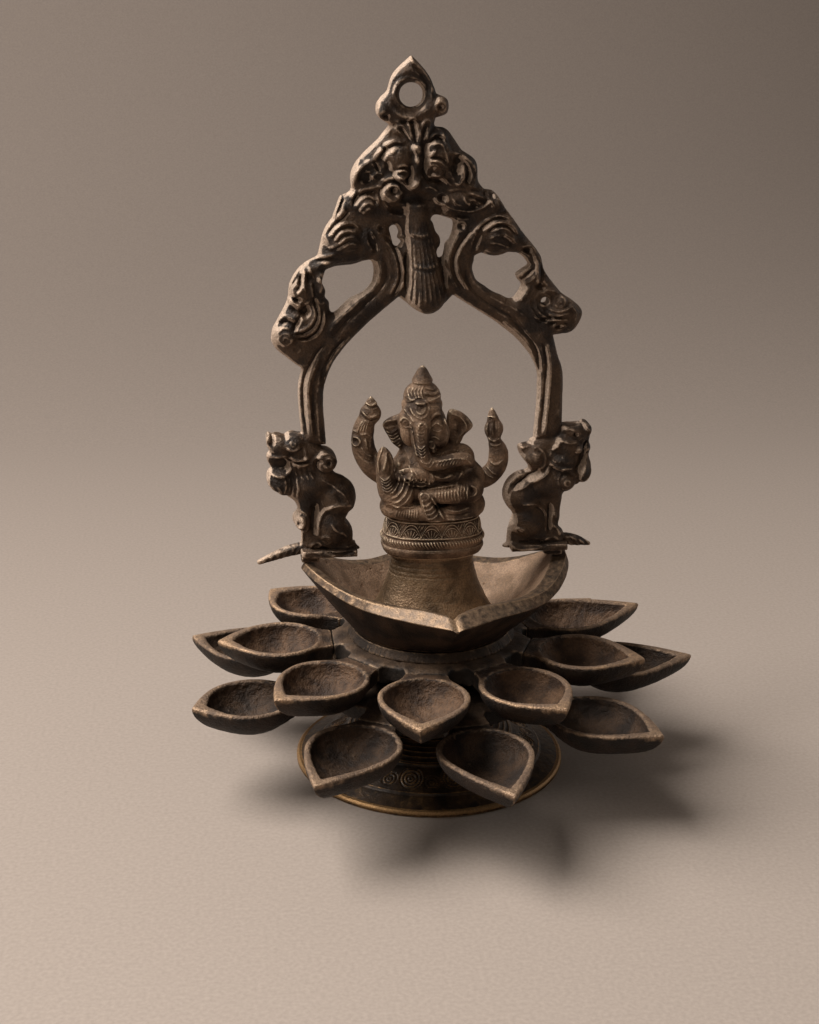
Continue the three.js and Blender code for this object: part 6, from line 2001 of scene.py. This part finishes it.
    def cloth(self, clay: Clay) -> None:
        """Adds the folded scarf over the belly and the hanging sash.

        Args:
            clay: The clay that takes it.
        """
        scarf = (-16.6, -9.4, 18.6, 2, -12, -12.6, 20.2, 2.6, -6.4, -13.6, 20.2, 2.6, -2.6, -13.4, 18.6, 2)
        clay.limb(pairs(scarf, 4), 0.6)
        clay.limb([(-3, -13.4, 19, 1.6), (4, -13, 18.4, 1.8), (10, -10.4, 18.6, 2)], 0.7)
        clay.limb([(-5, -14.6, 8.6, 2.6), (-3.2, -15.2, 4, 2.9), (-0.8, -15.2, -0.4, 3.1)], 0.6, 0.8)

    def build(self, shop: Workshop) -> None:
        """Makes the figure.

        Args:
            shop: The workshop that dresses and places it.
        """
        clay = Clay(self.low, self.high, self.grain)
        for step in (self.torso_and_legs, self.head, self.arms, self.cloth):
            step(clay)
        board = clay.board()
        board.chase(FIGURE_STROKES, FIGURE_FANS, FIGURE_RINGS)
        clay.press(board.relief)
        skin = clay.skin(np.maximum(clay.body, -clay.grid()[2]))
        skin.raise_by(GRIT.rough(skin.points, (1.3, 0.05)))
        skin.points[:, 2] += FIGURE_BASE
        shop.place("dressed_figure", skin, FIGURE_BRONZE, Body.HEAD, Slot.FIGURE, ["seated_figure"], wear=0.7)


@dataclass
class CarvedArch:
    """Arch of scrolls and volute heads with a lion mask, a pierced lug and two lion beasts."""

    thickness: float = 9.2
    edge_width: float = 5.4
    plate_half_depth: float = 7.5
    plate_height: float = 3.4
    plates: Table = ((-57.0, -33.0), (34.0, 59.0))
    lug_hole: tuple[float, float, float] = (-11.2, 192.6, 4.7)
    small_hole: tuple[float, float, float] = (45.5, 109.5, 1.8)
    # Tail plumes: x, z and radius of each point
    plumes: Table = (
        (-54, 3.2, 2.6, -63, 1.2, 2.4, -75, -3.2, 1.1),
        (55, 3.2, 2.6, 63, 2.6, 2.4, 69.5, 0.6, 1),
    )
    # Barbs of each plume: side, first x, first z, fall from one to the next, and how many
    barbs: Table = ((-1, -55.5, 4.6, 1.25, 6), (1, 57.5, 4.8, 0.5, 4))
    grain: float = 0.44
    deep_grain: float = 0.6
    deepest: float = 12.0

    def board(self) -> Carving:
        """Draws the arch flat: outline, openings, swellings, rolls and chased lines.

        Returns:
            The carved board.
        """
        board = Carving((-82, -8), (76, 212), self.grain)
        board.outline(np.vstack([curve(walk(run))[:-1] for run in ARCH_OUTLINE]))
        for beast in BEASTS:
            board.outline(curve(walk(beast), 5, True))
        self.pierce(board)
        board.pillow(self.thickness / 2, self.edge_width)
        for row in ARCH_DOMES:
            board.dome(row)
        for lift, *flat in ARCH_ROLLS:
            board.roll(curve(pairs(flat, 3), 5), lift)
        for plume in self.plumes:
            board.roll(curve(pairs(plume, 3), 5), 0.4, grow=True)
        for side, start, top, fall, count in self.barbs:
            for i in range(count):
                x, z = start + side * 3.1 * i, top - fall * i
                board.stroke(np.array([(x, z), (x + side * 3.2, z - 4.6)]), 0.8, -0.9)
        for x in self.plates:
            board.slab(x, (0, self.plate_height), self.plate_half_depth)
        board.chase(ARCH_STROKES, ARCH_FANS, ARCH_RINGS)
        board.soften()
        for row in ARCH_HOLLOWS:
            board.hollow(row)
        self.pierce(board)
        return board

    def pierce(self, board: Carving) -> None:
        """Cuts the openings and the two drilled holes.

        Args:
            board: The board that is cut.
        """
        for hole in ARCH_OPENINGS:
            board.opening(curve(walk(hole), 6, True))
        board.drill(*self.lug_hole)
        board.drill(*self.small_hole)

    def build(self, shop: Workshop) -> None:
        """Makes the arch.

        Args:
            shop: The workshop that dresses and places it.
        """
        board = self.board()
        relief = np.maximum(board.relief * (board.half > 1), -0.7 * board.half)
        reach = np.maximum(board.half + relief, 0.6)
        y = np.arange(-self.deepest, self.deepest + 0.01, self.deep_grain)
        depth = np.abs(y)[None, :, None] - reach[:, None, :]
        whole = smooth_max(depth, np.clip(board.edge, -6, 6)[:, None, :], 0.8)
        low, step = (board.low[0], -self.deepest, board.low[1]), (self.grain, self.deep_grain, self.grain)
        skin = net(whole.astype(np.float32), low, step)
        skin.raise_by(GRIT.rough(skin.points, (1.5, 0.06), (6, 0.1)))
        skin.points[:, 2] += ARCH_BASE
        normals = skin.normals()
        # The plate's sides take the filed colour, more where they face left: filed edges, with painted light
        # on the sides that face the key lamp
        side = step_up(-np.abs(normals[:, 1]), -0.95, -0.5)
        side *= 0.35 + 0.65 * step_up(-normals[:, 0], 0.1, 0.6)
        skin.mark("filed_and_lit", side * 0.75 + GRIT.at(skin.points, 4) * 0.25 * side)
        shop.place("dressed_arch", skin, ARCH_BRONZE, Body.HEAD, Slot.ARCH, ["arch"], wear=0.5)


@dataclass
class ArchPosts:
    """Short cast posts between the bowl's corners and the beasts' foot plates."""

    outer: float = 57.2
    width: float = 8.0
    depth: float = 8.5
    height: float = 2.6
    grain: float = 0.3

    def build(self, shop: Workshop) -> None:
        """Makes both posts.

        Args:
            shop: The workshop that dresses and places it.
        """
        for side, name in ((-1, "left_arch_post"), (1, "right_arch_post")):
            middle, top = side * (self.outer - self.width / 2), POST_BASE + self.height
            clay = Clay((middle - 6, -6, POST_BASE - 1.5), (middle + 6, 6, top + 1.5), self.grain)
            x, y, z = clay.grid()
            wide = np.abs(x - middle) - self.width / 2
            deep = np.abs(y) - self.depth / 2
            high = np.abs(z - POST_BASE - self.height / 2) - self.height / 2
            whole = smooth_max(smooth_max(wide, deep, 1.0), high, 0.5)
            skin = clay.skin(whole + GRIT.rough(clay.spots(), (1.4, 0.1)) + 0.1)
            shop.place("dressed_" + name, skin, ARCH_BRONZE, Body.HEAD, Slot.ARCH, [name])


@dataclass
class Fasteners:
    """Threaded rod, washer and nut that clamp the stack from under the foot."""

    rod_radius: float = 4.0
    rod_bottom: float = 1.2
    rod_top: float = 86.1
    thread_pitch: float = 1.25
    thread_depth: float = 0.6
    # The rod is threaded below the first height and above the second
    threaded: tuple[float, float] = (20.0, 66.0)
    washer_radius: float = 11.0
    washer_bottom: float = 12.2
    washer_top: float = 14.0
    nut_flats: float = 13.0
    nut_bottom: float = 5.4
    nut_top: float = 11.9
    grain: float = 0.3

    def rod(self) -> Skin:
        """Makes the rod with a real helical thread at its lower and upper ends.

        Returns:
            The surface in mm.
        """
        angle = circle(64)
        height = np.arange(self.rod_bottom + 0.5, self.rod_top - 0.5, 0.25)[:, None]
        turn = (height / self.thread_pitch - angle / (2 * math.pi)) % 1
        low, high = self.threaded
        cut = step_up(-height, -low, -low + 1.5) + step_up(height, high, high + 1.5)
        radius = self.rod_radius - self.thread_depth * np.abs(turn - 0.5) * 2 * cut
        wall = spun(radius, angle, height)
        under = [wall[0] * (s, s, 0) + (0, 0, self.rod_bottom) for s in (0.02, 0.8)]
        over = [wall[-1] * (s, s, 0) + (0, 0, self.rod_top) for s in (0.8, 0.02)]
        return grid_skin(np.stack([*under, *wall, *over]))

    def washer(self) -> Skin:
        """Makes the washer with rounded edges.

        Returns:
            The surface in mm.
        """
        low, top, far = self.washer_bottom, self.washer_top, self.washer_radius
        outer = [(far - 0.4, low), (far, low + 0.4), (far, top - 0.3), (far - 0.3, top)]
        section = [(BORE, low), *outer, (BORE, top), (BORE, low)]
        grid, angle, out = lathe(dense(section, 0.4), 180)
        return pushed(grid, angle, out, GRIT.rough(grid, (1.5, 0.05)))

    def nut(self) -> Skin:
        """Makes the hexagon nut with chamfered corners.

        Returns:
            The surface in mm.
        """
        half = self.nut_flats / 2
        clay = Clay((-9, -9, self.nut_bottom - 1), (9, 9, self.nut_top + 1), self.grain)
        x, y, z = clay.grid()
        sides = [np.abs(math.cos(a) * x + math.sin(a) * y) - half for a in np.radians((30, 90, 150))]
        hexagon = np.maximum(np.maximum(sides[0], sides[1]), sides[2])
        far = np.hypot(x, y)
        middle = (self.nut_bottom + self.nut_top) / 2
        ends = np.abs(z - middle) - (self.nut_top - middle)
        chamfer = far + 1.6 * ends - half - 0.2
        return clay.skin(np.maximum(np.maximum(hexagon, ends), np.maximum(chamfer, BORE - far)))

    def build(self, shop: Workshop) -> None:
        """Makes the rod, washer and nut."""
        for name, skin in (("tie_rod", self.rod()), ("foot_washer", self.washer()), ("foot_nut", self.nut())):
            shop.place("dressed_" + name, skin, STEEL, Body.STAND, Slot.HARDWARE, [name])


# Studio


@dataclass
class Studio:
    """Warm grey paper sweep, soft lamps and the camera at the photograph's angle."""

    # The paper's colour, and the darker colour painted on towards the back, the top and the left as shade
    paper: str = "#afa39a"
    far_paper_painted_shade: str = "#776d66"
    # Fibres of the paper, 1.7 mm long so that they show
    fibre: float = 5 / 3
    # The camera's place in mm, its turns in degrees, and its lens on a frame 36 mm high
    eye: tuple[float, float, float] = (-91.854, -653.577, 335.016)
    turn: float = -7.134
    tip: float = 71.6
    tilt: float = 0.6016
    lens: float = 56.46
    frame_height: float = 36
    aim: tuple[float, float, float] = (0, 0, 130)
    # The sweep's reach to the sides and the front, where it bends, its bend and its height
    reach: float = 4500.0
    bend_start: float = 500.0
    bend_radius: float = 700.0
    wall_height: float = 2600.0
    glow: float = 0.08

    def camera(self) -> None:
        """Places the camera."""
        data = bpy.data.cameras.new("studio_camera")
        data.sensor_fit = "VERTICAL"
        data.sensor_height = data.sensor_width = self.frame_height
        data.lens = self.lens
        data.clip_end = 20
        seen = bpy.data.objects.new("studio_camera", data)
        seen.matrix_world = (
            Matrix.Translation([c * MM for c in self.eye])
            @ Matrix.Rotation(math.radians(self.turn), 4, "Z")
            @ Matrix.Rotation(math.radians(self.tip), 4, "X")
            @ Matrix.Rotation(math.radians(self.tilt), 4, "Z")
        )
        bpy.context.scene.collection.objects.link(seen)
        bpy.context.scene.camera = seen

    def lamp(self, name: str, at: Sequence[float], size: float, watts: float, tint: str) -> None:
        """Adds a soft square lamp at a place in mm, aimed at the lamp's middle.

        Args:
            name: Its name.
            at: Its place in mm.
            size: Its side in mm.
            watts: Its power.
            tint: Its colour.
        """
        data = bpy.data.lights.new(name, "AREA")
        data.size = size * MM
        data.energy = watts
        data.color = linear(tint, alpha=False)
        lit = bpy.data.objects.new(name, data)
        way = np.array(self.aim, float) - np.array(at, float)
        from_z = -way / np.linalg.norm(way)
        side = np.cross((0, 0, 1), from_z)
        side /= np.linalg.norm(side)
        up = np.cross(from_z, side)
        rotation = Matrix([[side[i], up[i], from_z[i]] for i in range(3)]).to_4x4()
        lit.matrix_world = Matrix.Translation([c * MM for c in at]) @ rotation
        bpy.context.scene.collection.objects.link(lit)

    def paper_material(self) -> bpy.types.Material:
        """Makes matt seamless paper: one warm grey, painted darker towards the back, the top and the left as
        shade where the lamps' light falls off.

        Returns:
            The material.
        """
        made = blank("matt_studio_paper")
        add = partial(node, made.node_tree)
        place = add("TexCoord", out="Object")
        fibre = add("TexNoise", {"Vector": place, "Scale": 1000 / self.fibre, "Detail": 5.0})
        fibre = add("MapRange", (fibre, 0.3, 0.7, 0.88, 1.04))
        x, y, z = (add("SeparateXYZ", (place,), axis) for axis in "XYZ")
        # Painted shade: the paper darkens towards the back, the top and the left
        away = add("Math", (y, z), operation="ADD")
        back = add("Math", (x, -0.3, away), operation="MULTIPLY_ADD")
        painted_falloff = add("MapRange", (back, -0.75, 1.05), **SMOOTH)
        paper = add("Mix", {0: painted_falloff, 6: linear(self.paper), 7: linear(self.far_paper_painted_shade)}, 2, **COLOUR)
        tone = add("Mix", {0: 1.0, 6: paper, 7: fibre}, 2, blend_type="MULTIPLY", **COLOUR)
        add("OutputMaterial", {"Surface": add("BsdfPrincipled", {"Base Color": tone, "Roughness": 0.9})})
        return made

    def sweep(self) -> None:
        """Adds the floor and the curved backdrop in one sheet."""
        bend = np.linspace(0, math.pi / 2, 40)
        far = self.bend_start + self.bend_radius
        arc = np.stack([np.sin(bend), 1 - np.cos(bend)], 1) * self.bend_radius + (self.bend_start, 0)
        flat = np.stack([np.linspace(-self.reach, self.bend_start - 20, 12), np.zeros(12)], 1)
        rows = np.vstack([flat, arc, [(far, 1500), (far, self.wall_height)]])
        x = np.linspace(-self.reach, self.reach, 3)
        grid = np.stack(np.broadcast_arrays(x, rows[:, :1], rows[:, 1:]), -1)
        skin = grid_skin(grid, around=False)
        mesh = bpy.data.meshes.new("paper_sweep")
        mesh.from_pydata((skin.points * MM).tolist(), [], skin.quads.tolist())
        mesh.shade_smooth()
        mesh.materials.append(self.paper_material())
        made = bpy.data.objects.new("paper_sweep", mesh)
        bpy.context.scene.collection.objects.link(made)

    def world(self) -> None:
        """Fills the room with a faint warm light."""
        room = bpy.data.worlds.new("studio_room")
        bpy.context.scene.world = room
        room.use_nodes = True
        room.node_tree.nodes.clear()
        glow = node(room.node_tree, "Background", {"Color": linear("#e6d4c2"), "Strength": self.glow})
        node(room.node_tree, "OutputWorld", {"Surface": glow})

    def build(self) -> None:
        """Sets up the studio."""
        self.camera()
        self.sweep()
        self.world()
        self.lamp("key_softbox", (-880, 120, 1280), 1050, 44, "#fff8f0")
        self.lamp("front_fill", (-250, -950, 1000), 900, 1.9, "#fff2e4")
        self.lamp("right_rim", (800, 300, 420), 360, 0.8, "#fffaf5")
        bpy.context.scene.view_settings.view_transform = "Standard"


def parts() -> list[Any]:
    """Returns the lamp's sub-assemblies in the order in which they are stacked.

    Returns:
        One object for each sub-assembly, or several of one kind.
    """
    lower = Tier(
        name="lower", body=Body.LOWER, base=LOWER_HUB_BASE, hub_radius=52.0, arm_end=62.0, cup_radius=84.5,
        width=39.4, reach=34.2, depth=15.0, rim_drop=0.5, first_cup=8.35,
        reach_change=(6.0, -1.9, 2.0, -1, 0, -1, -3.2, -7.7, 4.4),
        place_change=(-1, -1, 2, 1, 0, 0, -1.5, -0.7, 3),
    )
    upper = Tier(
        name="upper", body=Body.UPPER, base=UPPER_HUB_BASE, hub_radius=41.0, arm_end=43.6, cup_radius=66.5,
        width=38.0, reach=29.8, depth=14.8, rim_drop=-0.6, first_cup=-11.65,
        reach_change=(1.9, -1.8, -0.7, 8.7, -0.3, -0.3, -4, -2, -0.8),
        place_change=(1.7, -0.6, -1.2, -3.9, 0, 0, 0.1, 1.2, 2.6), finish=UPPER_CUP_BRONZE,
    )
    stem = TurnedRing(
        "dressed_stem", "stem_column", Body.STAND, Slot.FOOT, STEM_BASE,
        ((25.4, 0), (25.4, 2.2), (22.1, 3.4), (20.8, 5), (20.5, 7.4), (20.8, 9.2), (21.9, 10.4), (24.6, 11.4),
         (25, 12), (25, 13.4)),
    )
    spacer = TurnedRing(
        "dressed_spacer", "tier_spacer", Body.STAND, Slot.CUPS, SPACER_BASE,
        ((22, 0), (22, 1.2), (19.5, 2.4), (19, 3.4), (19.5, 4.4), (22, 5.5), (22, 6.7)), HUB_BRONZE,
    )
    collar = TurnedRing(
        "dressed_collar", "bowl_collar", Body.HEAD, Slot.WORN, COLLAR_BASE,
        ((37.0, 0), (36.8, 0.7), (35.9, 2.2), (35, 3.7)), HUB_BRONZE, 110,
    )
    return [
        Foot(), stem, lower, spacer, upper, collar, OilBowl(), Pedestal(), LotusSeat(), SeatedFigure(),
        ArchPosts(), CarvedArch(), Fasteners(),
    ]


def main() -> None:
    """Builds the studio and every sub-assembly."""
    logging.basicConfig(level=logging.INFO, format="%(message)s")
    Studio().build()
    shop = Workshop()
    for part in parts():
        part.build(shop)


if __name__ == "__main__":
    main()
